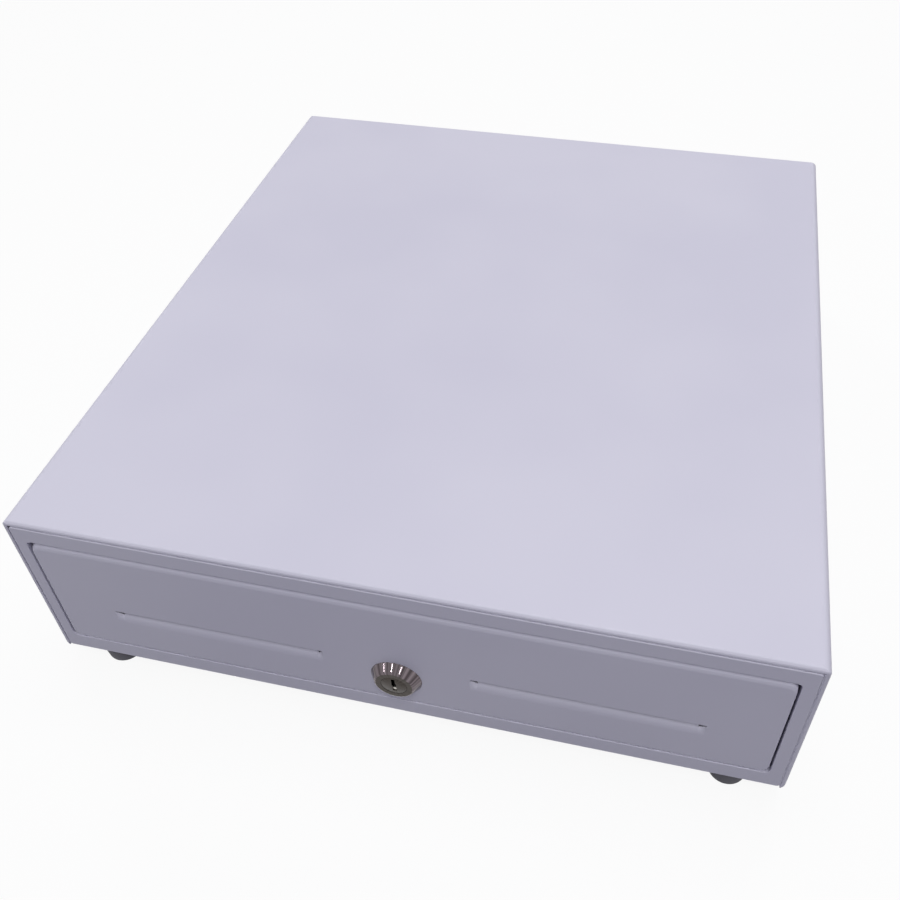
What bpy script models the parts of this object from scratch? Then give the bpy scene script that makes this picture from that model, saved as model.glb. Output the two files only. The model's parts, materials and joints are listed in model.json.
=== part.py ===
"""Counter-top cash drawer: a folded steel case on rubber feet with a key-locked drawer on rollers.

Metres, +Z up. The drawer opens towards -Y. The origin lies on the table, under the middle of the part.
"""

import math

import bmesh
import bpy
from mathutils import Matrix, Vector

# Clearances
SEAT = 0.0003  # between pieces that rest on each other
RUN = 0.0006  # between pieces that slide past each other

# Case
CASE_WIDTH = 0.350
CASE_DEPTH = 0.386
CASE_HEIGHT = 0.094
CASE_SHEET = 0.001
CASE_BEND = 0.002  # outside radius of the long top edges
CASE_LOW_BEND = 0.002  # outside radius of the long bottom edges
CASE_NOSE = 0.0019  # outside radius of the front edge
CASE_SETBACK = 0.0003  # front edge, behind the faces of the frame and the drawer
CASE_LIP = 0.0024  # width of the front edge, which is turned in
CASE_LIP_EDGE = 0.00035  # rounding of the turned edge
CASE_FLANGE = 0.012  # bottom edges turned in to carry the base
BASE_SHEET = 0.001
REAR_SHEET = 0.001
REAR_RECESS = 0.003
REAR_FLANGE = 0.009
REAR_CORNER = 0.004

# Feet
FOOT_HEIGHT = 0.012
FOOT_TOP_RADIUS = 0.0100
FOOT_LOW_RADIUS = 0.0090
FOOT_EDGE = 0.0012
FOOT_NECK_RADIUS = 0.0050
FOOT_STEM_RADIUS = 0.0030
FOOT_HEAD_RADIUS = 0.0043
FOOT_HEAD = 0.0028
FOOT_WELL_RADIUS = 0.0040
FOOT_WELL = 0.006
FOOT_SIDE_INSET = 0.024
FOOT_FRONT_INSET = 0.012
FOOT_REAR_INSET = 0.030

# Front frame
FRAME_SHEET = 0.001
FRAME_GROOVE = 0.0003  # between the case's front edge and the frame
FRAME_LEFT_GAP = 0.0005  # further gap on the left, where the case stands off the frame
FRAME_RETURN = 0.0066
FRAME_SIDE = 0.0060
FRAME_TOP = 0.0080
FRAME_BOTTOM = 0.0096
FRAME_LIFT = 0.0016  # bottom edge above the case's bottom
FRAME_CORNER = 0.0014
FRAME_ROUND = 0.0005
OPENING_CORNER = 0.0030
OPENING_ROUND = 0.0003

# Drawer front
REVEAL = 0.0008  # shadow gap between the frame and the drawer front
REVEAL_TOP = 0.0012  # the same above the rolled top edge
FRONT_SHEET = 0.0012
FRONT_CORNER = 0.0040
FRONT_ROUND = 0.0010  # bends at the sides and the bottom
FRONT_ROLL = 0.0045  # the rolled top edge
FRONT_RETURN = 0.016
SLOT_LENGTH = 0.102
SLOT_OFFSET = 0.085  # middle of each slot from the middle of the drawer
SLOT_RISE = 0.0200  # root of the lip above the drawer front's lower edge
SLOT_OPENING = 0.0079
SLOT_CORNER = 0.0006
LIP_DEPTH = 0.0034
LIP_RISE = 0.0066
LIP_BEND = 55.0  # degrees that the lip turns through
LIP_SHEET = 0.0011  # the lip is drawn thinner than the sheet
LIP_END = 0.0052  # length of the drawn-in piece at each end of the lip
LIP_END_DEPTH = 0.0018
LIP_END_RISE = 0.0020
LIP_ROOT = 0.0012  # the lip's overlap with the sheet it grows from
LIP_TIP_GAP = 0.0003

# Lock
LOCK_RISE = 0.0180
LOCK_PROUD = 0.0042
LOCK_BEZEL_RADIUS = 0.0119
LOCK_FACE_RADIUS = 0.0088
LOCK_BARREL_RADIUS = 0.0085
LOCK_LENGTH = 0.024
LOCK_NUT_FLAT = 0.0118  # centre to flat
LOCK_NUT_THICK = 0.0035
PLUG_RADIUS = 0.0060
PLUG_SINK = 0.0005
PLUG_STUB_RADIUS = 0.0030
KEYWAY_WIDTH = 0.0017
KEYWAY_HEIGHT = 0.0086
KEYWAY_STEP = 0.0007  # sideways step between the keyway's halves
KEYWAY_DEPTH = 0.009
CAM_REACH = 0.0250
CAM_WIDTH = 0.009
CAM_THICK = 0.002
CAM_NUT_FLAT = 0.0050
CAM_NUT_THICK = 0.003
KEEPER_SHEET = 0.0015
KEEPER_WIDTH = 0.024
KEEPER_HEIGHT = 0.0075
KEEPER_FOOT = 0.009

# Runners
RUNNER_SHEET = 0.0012
RAIL_WIDTH = 0.0098
RAIL_SETBACK = 0.0015  # rail's front end, behind the drawer front's turned-in edges
RAIL_OVERRUN = 0.030  # rail's rear end, behind the drawer
RAIL_RISE = 0.0245
SLIDE_WIDTH = 0.0077
SLIDE_LEG = 0.010  # how far the slide's leg hangs below the roller's middle
ROLLER_RADIUS = 0.0085
ROLLER_WIDTH = 0.005
ROLLER_BORE_GAP = 0.0004
AXLE_RADIUS = 0.0025
AXLE_HEAD_RADIUS = 0.0042
AXLE_HEAD = 0.0005
ROLLER_END_GAP = 0.0015

# Drawer box
BOX_SHEET = 0.001
BOX_DROP = 0.0089  # the box's rim below the drawer front's top
BOX_FRONT = 0.036
BOX_FRONT_LIP = 0.018
BOX_TAB = 0.012
BOX_TAB_RISE = 0.006
REAR_SPACE = 0.076  # behind the drawer box, for the catch

# Till insert
TILL_SLACK = 0.0006
TILL_DEPTH = 0.0373
TILL_WALL = 0.0025
TILL_DIVIDER = 0.0022
TILL_RIM = 0.0030
TILL_RIM_THICK = 0.0028
TILL_DRAFT = 0.0015
TILL_CORNER = 0.005
TILL_CHUTE = 0.015  # gap in front of the till, where slotted papers drop
TILL_REAR_GAP = 0.002
BILL_COUNT = 4
BILL_ROUND = 0.006
COIN_COUNT = 5
COIN_LENGTH = 0.092
CUP_WALL = 0.0016
CUP_GAP = 0.0004
CUP_HEIGHT = 0.0325
CUP_SCOOP = 0.026
NOTCH_RADIUS = 0.018  # thumb notch in front of each bill compartment
NOTCH_DEPTH = 0.010

# Bill clips
ROD_RADIUS = 0.003
ROD_INSET = 0.013
ROD_DROP = 0.008
ROD_SOCKET = 0.0012
CLIP_WIDTH = 0.020
CLIP_SHEET = 0.0014
CLIP_HEEL = 0.064
CLIP_TOE = 0.016
CLIP_TOE_RISE = 0.006
CLIP_FLOOR_GAP = 0.0005
KNUCKLE_RADIUS = 0.0050
KNUCKLE_WIDTH = 0.0048
KNUCKLE_NOTCH = 0.009
CLIP_SPRING_RADIUS = 0.0041
CLIP_SPRING_WIRE = 0.0009
CLIP_SPRING_TURNS = 5
CLIP_SPRING_LEG = 0.018
CLIP_SPRING_TAIL = 0.0115  # reach of the other leg, short of the till's wall

# Catch behind the drawer
PLATE_LEFT = 0.110
PLATE_RIGHT = 0.070
PLATE_FRONT = 0.006
PLATE_DEPTH = 0.0575
PLATE_SHEET = 0.0015
STRIKE_WIDTH = 0.016
STRIKE_SHEET = 0.002
STRIKE_REACH = 0.018
STRIKE_GAP = 0.010  # clear height between the strike's two ears
STRIKE_PIN_RADIUS = 0.0025
STRIKE_PIN_SETBACK = 0.014
HOOK_X = 0.009
HOOK_SETBACK = 0.035
HOOK_Z = 0.033
HOOK_SHEET = 0.0025
HOOK_OPEN_ANGLE = 14.0
HOOK_TAIL = 0.014
HOOK_NOSE = 0.0047
HOOK_HUB = 1.4  # the hook's eye, as a multiple of the post's shoulder
HOOK_SHANK = 1.7  # width of the shank, as a multiple of the nose
HOOK_CLEAR = 0.0005
POST_RADIUS = 0.003
POST_SHOULDER_RADIUS = 0.005
POST_TOP = 0.012
POST_HEAD = 0.002
POST_HEAD_RADIUS = 0.0046
HOOK_SPRING_RADIUS = 0.0046
HOOK_SPRING_WIRE = 0.0008
HOOK_SPRING_TURNS = 5
HOOK_SPRING_PITCH = 0.0014
HOOK_SPRING_LEG = 0.013
TAB_SETBACK = 0.0205  # the tab that holds the hook spring's fixed leg, behind the hook's pivot
TAB_SHEET = 0.0015
TAB_WIDTH = 0.0065
TAB_TOP = 0.011
COIL_LENGTH = 0.036
COIL_RADIUS = 0.0118
COIL_FLANGE = 0.002
COIL_FLANGE_RADIUS = 0.0128
YOKE_SHEET = 0.002
YOKE_DEPTH = 0.026
YOKE_END = 0.038  # the yoke's working end, left of the middle
YOKE_CROWN = 0.014  # yoke ends above the plunger's axis
PLUNGER_RADIUS = 0.004
PLUNGER_OUT = 0.018
PLUNGER_TONGUE = 0.0022
PLUNGER_PIN_RADIUS = 0.0015
EAR_X = 0.046
EAR_WIDTH = 0.024
EAR_HEIGHT = 0.034
GUIDE_RADIUS = 0.0035
GUIDE_SEAT_RADIUS = 0.0095
GUIDE_SEAT = 0.0015
GUIDE_LENGTH = 0.042
GUIDE_Z = 0.037
EJECT_RADIUS = 0.0065
EJECT_WIRE = 0.0014
EJECT_TURNS = 9
SWITCH_X = 0.094
SWITCH_SIZE = (0.020, 0.010, 0.016)
SWITCH_SETBACK = 0.0045
BLADE_SHEET = 0.0005
BLADE_WIDTH = 0.004

# Socket in the rear panel, and the lead from it to the coil
SOCKET_INSET = 0.045  # middle of the socket from the case's left side
SOCKET_RISE = 0.033
SOCKET_WIDTH = 0.0134
SOCKET_HEIGHT = 0.0124
SOCKET_DEPTH = 0.016
SOCKET_BEZEL = 0.0016
SOCKET_BEZEL_THICK = 0.001
SOCKET_WALL = 0.0009
SOCKET_WELL = 0.011
LEAD_RADIUS = 0.0018
LEAD_STRAIGHT = 0.006  # the lead leaves the socket and meets the coil straight
LEAD_BEND = (0.010, -0.016, -0.006)  # where it turns towards the coil, from the socket
LEAD_RUN = (-0.024, -0.001, -0.001)  # where it lines up with the coil, from the coil

# Levels and planes worked out from the sizes above
HALF = CASE_WIDTH / 2
CASE_LOW = FOOT_HEIGHT
CASE_TOP = CASE_LOW + CASE_HEIGHT
FRONT = -(CASE_DEPTH - LOCK_PROUD) / 2
BASE_LOW = CASE_LOW + CASE_SHEET + SEAT
BASE_TOP = BASE_LOW + BASE_SHEET
FRAME_X = HALF - CASE_LIP - FRAME_GROOVE
FRAME_LOW = CASE_LOW + FRAME_LIFT
FRAME_HIGH = CASE_TOP - CASE_LIP - FRAME_GROOVE
OPEN_X = FRAME_X - FRAME_SIDE
OPEN_LOW = FRAME_LOW + FRAME_BOTTOM
OPEN_HIGH = FRAME_HIGH - FRAME_TOP
PANEL_X = OPEN_X - REVEAL
PANEL_LOW = OPEN_LOW + REVEAL
PANEL_HIGH = OPEN_HIGH - REVEAL_TOP
LOCK_Z = PANEL_LOW + LOCK_RISE
RAIL_X = HALF - CASE_SHEET - SEAT
RAIL_INNER = RAIL_X - RAIL_WIDTH
SLIDE_X = RAIL_INNER - RUN
BOX_X = SLIDE_X - SLIDE_WIDTH - SEAT
FRONT_BEND = FRONT_SHEET + FRONT_ROUND / 2  # inner edge of the drawer front's bends
BOX_LOW = PANEL_LOW + FRONT_SHEET + SEAT
BOX_HIGH = PANEL_HIGH - FRONT_SHEET - BOX_DROP
BOX_REAR = CASE_DEPTH - REAR_SPACE
RAIL_Z = BOX_LOW + RAIL_RISE
RAIL_START = FRONT_RETURN + RAIL_SETBACK
TRACK = ROLLER_RADIUS + SEAT
FRONT_AXLE = RAIL_START + ROLLER_RADIUS + ROLLER_END_GAP
REAR_AXLE = BOX_REAR - ROLLER_RADIUS - ROLLER_END_GAP
TILL_X = BOX_X - BOX_SHEET - TILL_SLACK
TILL_FRONT = BOX_FRONT + BOX_SHEET + TILL_CHUTE
TILL_REAR = BOX_REAR - BOX_SHEET - TILL_REAR_GAP
TILL_TOP = BOX_HIGH + SEAT
TILL_LOW = TILL_TOP - TILL_DEPTH
TILL_FLOOR = TILL_LOW + TILL_WALL
WELL_X = TILL_X - TILL_WALL - TILL_DRAFT
WELL_FRONT = TILL_FRONT + TILL_WALL + TILL_DRAFT
WELL_REAR = WELL_FRONT + COIN_LENGTH
BILL_FRONT = WELL_REAR + TILL_DIVIDER
BILL_REAR = TILL_REAR - TILL_WALL - TILL_DRAFT
BILL_PITCH = (2 * WELL_X + TILL_DIVIDER) / BILL_COUNT
ROD_BACK = BILL_REAR - ROD_INSET
ROD_Z = TILL_TOP - ROD_DROP
PLATE_LOW = BASE_TOP + SEAT
PLATE_TOP = PLATE_LOW + PLATE_SHEET
PLUNGER_BACK = BOX_REAR + HOOK_SETBACK + HOOK_TAIL
HOOK_SLACK = HOOK_TAIL * math.tan(math.radians(HOOK_OPEN_ANGLE))
PANEL_BACK = CASE_DEPTH - REAR_RECESS - REAR_SHEET  # the rear panel's inner face
SOCKET_X = SOCKET_INSET - HALF
SOCKET_Z = CASE_LOW + SOCKET_RISE

UP = Vector((0, 0, 1))


def behind(distance):
    """The y of a plane that far behind the case's front."""
    return FRONT + distance


def finish(name, shape, look, origin=(0, 0, 0), carrier=None, crease=35):
    """Makes a named object of a bmesh drawn in the part's frame, with its origin on a point of its own."""
    place = Vector(origin)
    bmesh.ops.translate(shape, verts=shape.verts, vec=-place)
    mesh = bpy.data.meshes.new(name)
    shape.to_mesh(mesh)
    shape.free()
    mesh.shade_smooth()
    mesh.set_sharp_from_angle(angle=math.radians(crease))
    return put(name, mesh, look, place, carrier)


def put(name, data, look, place, carrier=None):
    """Places mesh or curve data as an object, carried by an empty if one is given."""
    if not data.materials:
        data.materials.append(look)
    thing = bpy.data.objects.new(name, data)
    bpy.context.collection.objects.link(thing)
    thing.location = Vector(place)
    if carrier is not None:
        thing.parent = carrier
        thing.location = Vector(place) - carrier.location
    return thing


def carrier_at(name, place):
    """An empty on a joint's axis that carries the pieces of one moving body."""
    empty = bpy.data.objects.new(name, None)
    bpy.context.collection.objects.link(empty)
    empty.location = Vector(place)
    return empty


def paint(name, colour, roughness, metallic=0.0):
    """A Principled material of one colour."""
    look = bpy.data.materials.new(name)
    look.use_nodes = True
    shader = look.node_tree.nodes["Principled BSDF"]
    shader.inputs["Base Color"].default_value = (*colour, 1.0)
    shader.inputs["Roughness"].default_value = roughness
    shader.inputs["Metallic"].default_value = metallic
    return look


def skin(loops, ring=False):
    """A closed body through matching loops, capped at both ends, or joined end to start as a ring."""
    shape = bmesh.new()
    rows = [[shape.verts.new(point) for point in loop] for loop in loops]
    pairs = list(zip(rows, rows[1:]))
    if ring:
        pairs.append((rows[-1], rows[0]))
    for near, far in pairs:
        for k in range(len(near)):
            n = (k + 1) % len(near)
            shape.faces.new((near[k], near[n], far[n], far[k]))
    if not ring:
        shape.faces.new(rows[0])
        shape.faces.new(rows[-1])
    bmesh.ops.recalc_face_normals(shape, faces=shape.faces)
    return shape


def lift(points, axis, along):
    """Puts flat points on a plane square to an axis: (y, z) for X, (x, z) for Y and (x, y) for Z."""
    if axis == "X":
        return [(along, a, b) for a, b in points]
    if axis == "Y":
        return [(a, along, b) for a, b in points]
    return [(a, b, along) for a, b in points]


def arc(centre, radius, start, stop, steps):
    """Points of an arc, with its angles in degrees."""
    points = []
    for k in range(steps + 1):
        angle = math.radians(start + (stop - start) * k / steps)
        points.append((centre[0] + radius * math.cos(angle), centre[1] + radius * math.sin(angle)))
    return points


def rounded(low, high, radius, steps=3):
    """A rectangle with round corners, from its low and high corners."""
    points = []
    corners = ((high[0], high[1], 0), (low[0], high[1], 90), (low[0], low[1], 180), (high[0], low[1], 270))
    for x, y, start in corners:
        inward = (-1 if x == high[0] else 1, -1 if y == high[1] else 1)
        points += arc((x + inward[0] * radius, y + inward[1] * radius), radius, start, start + 90, steps)
    return points


def shrunk(low, high, inset, radius, steps=3):
    """The same rectangle drawn in by an inset, with its corners kept concentric."""
    tight = max(radius - inset, 0.0005)
    return rounded((low[0] + inset, low[1] + inset), (high[0] - inset, high[1] - inset), tight, steps)


def prism(outline, axis, start, stop):
    """A flat outline pushed along an axis."""
    return skin([lift(outline, axis, start), lift(outline, axis, stop)])


def block(low, high):
    """A rectangular block between two corners."""
    outline = [(low[0], low[1]), (high[0], low[1]), (high[0], high[1]), (low[0], high[1])]
    return prism(outline, "Z", low[2], high[2])


def turned(profile, centre, axis, sides=24, ring=False):
    """A turned body: its profile is (radius, distance along the axis) from the centre."""
    index = "XYZ".index(axis)
    flat = [centre[i] for i in range(3) if i != index]
    loops = []
    for radius, along in profile:
        circle = arc(flat, radius, 0, 360 - 360 / sides, sides - 1)
        loops.append(lift(circle, axis, centre[index] + along))
    return skin(loops, ring)


def hexagon(flat, centre, sides=24):
    """Points of a hexagon, spaced by even angles so that they match a circle's."""
    points = []
    for k in range(sides):
        angle = math.tau * k / sides
        turn = (angle + math.pi / 6) % (math.pi / 3) - math.pi / 6
        radius = flat / math.cos(turn)
        points.append((centre[0] + radius * math.cos(angle), centre[1] + radius * math.sin(angle)))
    return points


def hex_nut(flat, bore, centre, axis, start, stop, sides=24):
    """A hexagon nut with a plain bore."""
    outer = hexagon(flat, centre, sides)
    inner = arc(centre, bore, 0, 360 - 360 / sides, sides - 1)
    loops = [lift(outer, axis, start), lift(outer, axis, stop)]
    loops += [lift(inner, axis, stop), lift(inner, axis, start)]
    return skin(loops, ring=True)


def strip(points, thick):
    """The outline of a bent sheet strip of even thickness along a line of points."""
    left, right = [], []
    for k, point in enumerate(points):
        here = Vector(point)
        ways = []
        if k > 0:
            ways.append((here - Vector(points[k - 1])).normalized())
        if k < len(points) - 1:
            ways.append((Vector(points[k + 1]) - here).normalized())
        way = sum(ways, Vector((0, 0))).normalized()
        side = Vector((-way.y, way.x))
        reach = thick / 2 / max(side.dot(Vector((-ways[0].y, ways[0].x))), 0.2)
        left.append(tuple(here + side * reach))
        right.append(tuple(here - side * reach))
    return left + right[::-1]


def combine(body, tool, operation):
    """The body after an exact Boolean with a tool, both given as bmeshes."""
    pair = []
    for shape in (body, tool):
        mesh = bpy.data.meshes.new("blank")
        shape.to_mesh(mesh)
        shape.free()
        thing = bpy.data.objects.new("blank", mesh)
        bpy.context.collection.objects.link(thing)
        pair.append(thing)
    change = pair[0].modifiers.new("change", "BOOLEAN")
    change.operation = operation
    change.object = pair[1]
    change.solver = "EXACT"
    result = bmesh.new()
    result.from_object(pair[0], bpy.context.evaluated_depsgraph_get())
    for thing in pair:
        mesh = thing.data
        bpy.data.objects.remove(thing)
        bpy.data.meshes.remove(mesh)
    return result


def cut(body, *tools):
    for tool in tools:
        body = combine(body, tool, "DIFFERENCE")
    return body


def join(body, *pieces):
    for piece in pieces:
        body = combine(body, piece, "UNION")
    return body


def helix(radius, pitch, turns, axis_start, axis, first, hand=1, points_a_turn=9):
    """Points of a coil about an axis: first points to where it starts, and hand -1 makes it left-handed."""
    along = Vector(axis)
    out = Vector(first)
    side = along.cross(out) * hand
    points = []
    for k in range(turns * points_a_turn + 1):
        angle = math.tau * k / points_a_turn
        rim = out * math.cos(angle) + side * math.sin(angle)
        points.append(Vector(axis_start) + rim * radius + along * (pitch * k / points_a_turn))
    return points


def least_gap(points, wire, turn):
    """The least gap between a wire and itself, past half a turn along it."""
    least = math.inf
    for i, a in enumerate(points):
        for b in points[i + turn // 2 + 1:]:
            least = min(least, (a - b).length - wire)
    return least


def wire(name, points, thick, resolution=1):
    """Round wire along a line of points, as a bevelled curve with closed ends."""
    curve = bpy.data.curves.new(name, "CURVE")
    curve.dimensions = "3D"
    spline = curve.splines.new("POLY")
    spline.points.add(len(points) - 1)
    for knot, point in zip(spline.points, points):
        knot.co = (*point, 1.0)
    curve.bevel_depth = thick / 2
    curve.bevel_resolution = resolution
    curve.use_fill_caps = True
    return curve


def smooth_route(knots, steps):
    """A smooth curve through the knots of a lead."""
    ends = [2 * knots[0] - knots[1]] + knots + [2 * knots[-1] - knots[-2]]
    points = []
    for k in range(len(knots) - 1):
        a, b, c, d = ends[k:k + 4]
        for step in range(steps):
            t = step / steps
            square = (2 * a - 5 * b + 4 * c - d) * t**2
            cube = (3 * b - a - 3 * c + d) * t**3
            points.append((2 * b + (c - a) * t + square + cube) / 2)
    return points + [knots[-1]]


# The case


def cover_section(fold, wall):
    """The cover's C-shaped section: outer faces drawn in by a fold, inner ones at a wall's depth."""
    thin = fold / CASE_NOSE * CASE_SHEET * 0.45
    steps = 4
    bend, low_bend = CASE_BEND, CASE_LOW_BEND
    floor = CASE_LOW + CASE_SHEET - thin
    edge = CASE_SHEET * 0.6
    tight = max(bend - wall, CASE_LIP_EDGE)
    outer = [(HALF - CASE_FLANGE, CASE_LOW + thin)]
    for x, z in arc((0, 0), 1.0, 270, 360, steps):
        outer.append((HALF - low_bend + (low_bend - fold) * x, CASE_LOW + low_bend + (low_bend - thin) * z))
    outer += arc((HALF - bend, CASE_TOP - bend), bend - fold, 0, 90, steps)
    inner = arc((HALF - wall - tight, CASE_TOP - wall - tight), tight, 90, 0, steps)
    inner += arc((HALF - wall - edge, floor + edge), edge, 0, -90, 2)
    inner.append((HALF - CASE_FLANGE, floor))
    mirror_outer = [(-x, z) for x, z in reversed(outer)]
    mirror_inner = [(-x, z) for x, z in reversed(inner)]
    return outer + mirror_outer + mirror_inner + inner


def make_cover(look):
    """Top and sides in one sheet: the front edge is turned in, and the bottom edges carry the base."""
    def nose(back):
        """How far the rounded front edge draws the outer faces in at a depth."""
        return CASE_NOSE - math.sqrt(max(CASE_NOSE**2 - (CASE_NOSE - back)**2, 0.0))

    inside = CASE_NOSE - CASE_SHEET
    stations = [
        (0.0, CASE_LIP - CASE_LIP_EDGE),
        (CASE_LIP_EDGE * 0.3, CASE_LIP - CASE_LIP_EDGE * 0.3),
        (CASE_LIP_EDGE, CASE_LIP),
        (CASE_SHEET, CASE_LIP),
        (CASE_SHEET, CASE_NOSE),
        (CASE_NOSE - inside * math.sqrt(0.5), CASE_NOSE - inside * math.sqrt(0.5)),
        (CASE_NOSE, CASE_SHEET),
        (CASE_DEPTH - CASE_SETBACK, CASE_SHEET),
    ]
    loops = []
    for back, wall in stations:
        fold = nose(back) if back < CASE_NOSE else 0.0
        loops.append(lift(cover_section(fold, wall), "Y", behind(CASE_SETBACK + back)))
    inner_x = FRAME_X + FRAME_GROOVE
    notch_end = behind(FRAME_RETURN + FRAME_GROOVE)
    notch = block((-inner_x, FRONT - CASE_NOSE, 0), (inner_x, notch_end, BASE_LOW))
    finish("case_cover", cut(skin(loops), notch), look)


def foot_places():
    """Name ending and middle of each foot."""
    x = HALF - FOOT_SIDE_INSET
    near = behind(FOOT_FRONT_INSET)
    far = behind(CASE_DEPTH - FOOT_REAR_INSET)
    return (
        ("front_left", -x, near), ("front_right", x, near), ("rear_left", -x, far), ("rear_right", x, far),
    )


def make_base(look):
    near, far = behind(FRAME_RETURN + SEAT), behind(PANEL_BACK - SEAT)
    plate = block((-FRAME_X, near, BASE_LOW), (FRAME_X, far, BASE_TOP))
    for _, foot_x, foot_y in foot_places():
        hole = [(FOOT_STEM_RADIUS + SEAT, -BASE_SHEET), (FOOT_STEM_RADIUS + SEAT, 2 * BASE_SHEET)]
        plate = cut(plate, turned(hole, (foot_x, foot_y, BASE_LOW), "Z", 16))
    finish("base_plate", plate, look)


def make_feet(look):
    top = CASE_LOW - SEAT
    profile = [
        (FOOT_WELL_RADIUS, FOOT_WELL),
        (FOOT_WELL_RADIUS, 0),
        (FOOT_LOW_RADIUS - FOOT_EDGE, 0),
        (FOOT_LOW_RADIUS, FOOT_EDGE),
        (FOOT_TOP_RADIUS, top - FOOT_EDGE / 2),
        (FOOT_TOP_RADIUS - FOOT_EDGE / 2, top),
        (FOOT_NECK_RADIUS, top),
        (FOOT_NECK_RADIUS, BASE_LOW - SEAT),
        (FOOT_STEM_RADIUS, BASE_LOW - SEAT),
        (FOOT_STEM_RADIUS, BASE_TOP + SEAT),
        (FOOT_HEAD_RADIUS, BASE_TOP + SEAT),
        (FOOT_STEM_RADIUS, BASE_TOP + SEAT + FOOT_HEAD),
    ]
    for ending, x, y in foot_places():
        finish("foot_" + ending, turned(profile, (x, y, 0), "Z", 20), look, (x, y, 0))


def make_rear_panel(look):
    low, high = (-RAIL_X, BASE_TOP + SEAT), (RAIL_X, CASE_TOP - CASE_SHEET - SEAT)
    face = behind(CASE_DEPTH - REAR_RECESS)
    bend = 2 * REAR_SHEET
    rim = face - REAR_FLANGE
    loops = [
        lift(shrunk(low, high, bend, REAR_CORNER), "Y", face),
        lift(shrunk(low, high, bend * 0.3, REAR_CORNER), "Y", face - bend * 0.3),
        lift(shrunk(low, high, 0, REAR_CORNER), "Y", face - bend),
        lift(shrunk(low, high, 0, REAR_CORNER), "Y", rim),
        lift(shrunk(low, high, REAR_SHEET, REAR_CORNER), "Y", rim),
        lift(shrunk(low, high, REAR_SHEET, REAR_CORNER), "Y", face - bend),
        lift(shrunk(low, high, bend, REAR_CORNER), "Y", face - REAR_SHEET),
    ]
    wide = SOCKET_WIDTH / 2 + SEAT
    tall = SOCKET_HEIGHT / 2 + SEAT
    window = block(
        (SOCKET_X - wide, face - 2 * REAR_SHEET, SOCKET_Z - tall),
        (SOCKET_X + wide, face + REAR_SHEET, SOCKET_Z + tall),
    )
    finish("rear_panel", cut(skin(loops), window), look)


def make_front_frame(look):
    low, high = (FRAME_LEFT_GAP - FRAME_X, FRAME_LOW), (FRAME_X, FRAME_HIGH)
    open_low, open_high = (-OPEN_X, OPEN_LOW), (OPEN_X, OPEN_HIGH)
    face = FRONT
    rim = face + FRAME_RETURN
    loops = [lift(shrunk(low, high, 0, FRAME_CORNER), "Y", rim)]
    for angle in (0, 45, 90):
        turn = math.radians(angle)
        edge = shrunk(low, high, FRAME_ROUND * (1 - math.cos(turn)), FRAME_CORNER)
        loops.append(lift(edge, "Y", face + FRAME_ROUND * (1 - math.sin(turn))))
    for angle in (90, 60, 30, 0):
        turn = math.radians(angle)
        outset = OPENING_ROUND * (1 - math.cos(turn))
        edge = shrunk(open_low, open_high, -outset, OPENING_CORNER)
        loops.append(lift(edge, "Y", face + OPENING_ROUND * (1 - math.sin(turn))))
    hidden = face + FRAME_SHEET
    bend = face + 2 * FRAME_SHEET
    for outset, y in ((0, rim), (FRAME_SHEET, rim), (FRAME_SHEET, bend), (2 * FRAME_SHEET, hidden)):
        loops.append(lift(shrunk(open_low, open_high, -outset, OPENING_CORNER), "Y", y))
    for inset, y in ((2 * FRAME_SHEET, hidden), (FRAME_SHEET, bend), (FRAME_SHEET, rim)):
        loops.append(lift(shrunk(low, high, inset, FRAME_CORNER), "Y", y))
    finish("front_frame", skin(loops, ring=True), look)


# The drawer


def bend_inset(radius, depth):
    """How far a bend of that radius draws a face in at a depth behind the front."""
    short = max(radius - depth, 0.0)
    return radius - math.sqrt(radius**2 - short**2)


def front_loop(depth, sides, top):
    """The drawer front's outline at a depth, drawn in at its sides and bottom and at its top."""
    low = (sides - PANEL_X, PANEL_LOW + sides)
    high = (PANEL_X - sides, PANEL_HIGH - top)
    return lift(rounded(low, high, FRONT_CORNER - sides), "Y", behind(depth))


def make_drawer_front(look, carrier):
    """A folded sheet whose top edge is rolled back wide and whose other edges are bent tight."""
    depths = [FRONT_ROUND * (1 - math.sin(math.radians(angle))) for angle in (90, 60, 30, 0)]
    depths += [FRONT_ROLL * (1 - math.cos(math.radians(angle))) for angle in (30, 45, 60, 75, 90)]
    loops = [front_loop(d, bend_inset(FRONT_ROUND, d), bend_inset(FRONT_ROLL, d)) for d in sorted(depths)]
    loops.append(front_loop(FRONT_RETURN, 0, 0))
    loops.append(front_loop(FRONT_RETURN, FRONT_SHEET, FRONT_SHEET))
    inside = FRONT_ROLL - FRONT_SHEET
    for angle in (90, 60, 30):
        turn = math.radians(angle)
        depth = FRONT_ROLL - inside * math.cos(turn)
        loops.append(front_loop(depth, FRONT_SHEET, FRONT_ROLL - inside * math.sin(turn)))
    loops.append(front_loop(FRONT_SHEET, FRONT_BEND, FRONT_ROLL))
    panel = skin(loops)
    hole = [(LOCK_BARREL_RADIUS + SEAT, -FRONT_SHEET), (LOCK_BARREL_RADIUS + SEAT, 2 * FRONT_SHEET)]
    panel = cut(panel, turned(hole, (0, FRONT, LOCK_Z), "Y", 24))
    for side in (-1, 1):
        panel = press_slot(panel, side * SLOT_OFFSET)
    finish("drawer_front", panel, look, (0, FRONT, PANEL_LOW), carrier)


def lip_section(depth, rise):
    """Outline in (y, z) of the pressed lip where it goes that deep and rises that far above its root."""
    root = PANEL_LOW + SLOT_RISE
    middle = FRONT_SHEET / 2
    line = [(behind(middle), root - LIP_ROOT)]
    steps = 6
    full = math.radians(LIP_BEND)
    for k in range(steps + 1):
        turn = full * k / steps
        sink = depth * (1 - math.cos(turn)) / (1 - math.cos(full))
        line.append((behind(middle + sink), root + rise * math.sin(turn) / math.sin(full)))
    return strip(line, LIP_SHEET)


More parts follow.
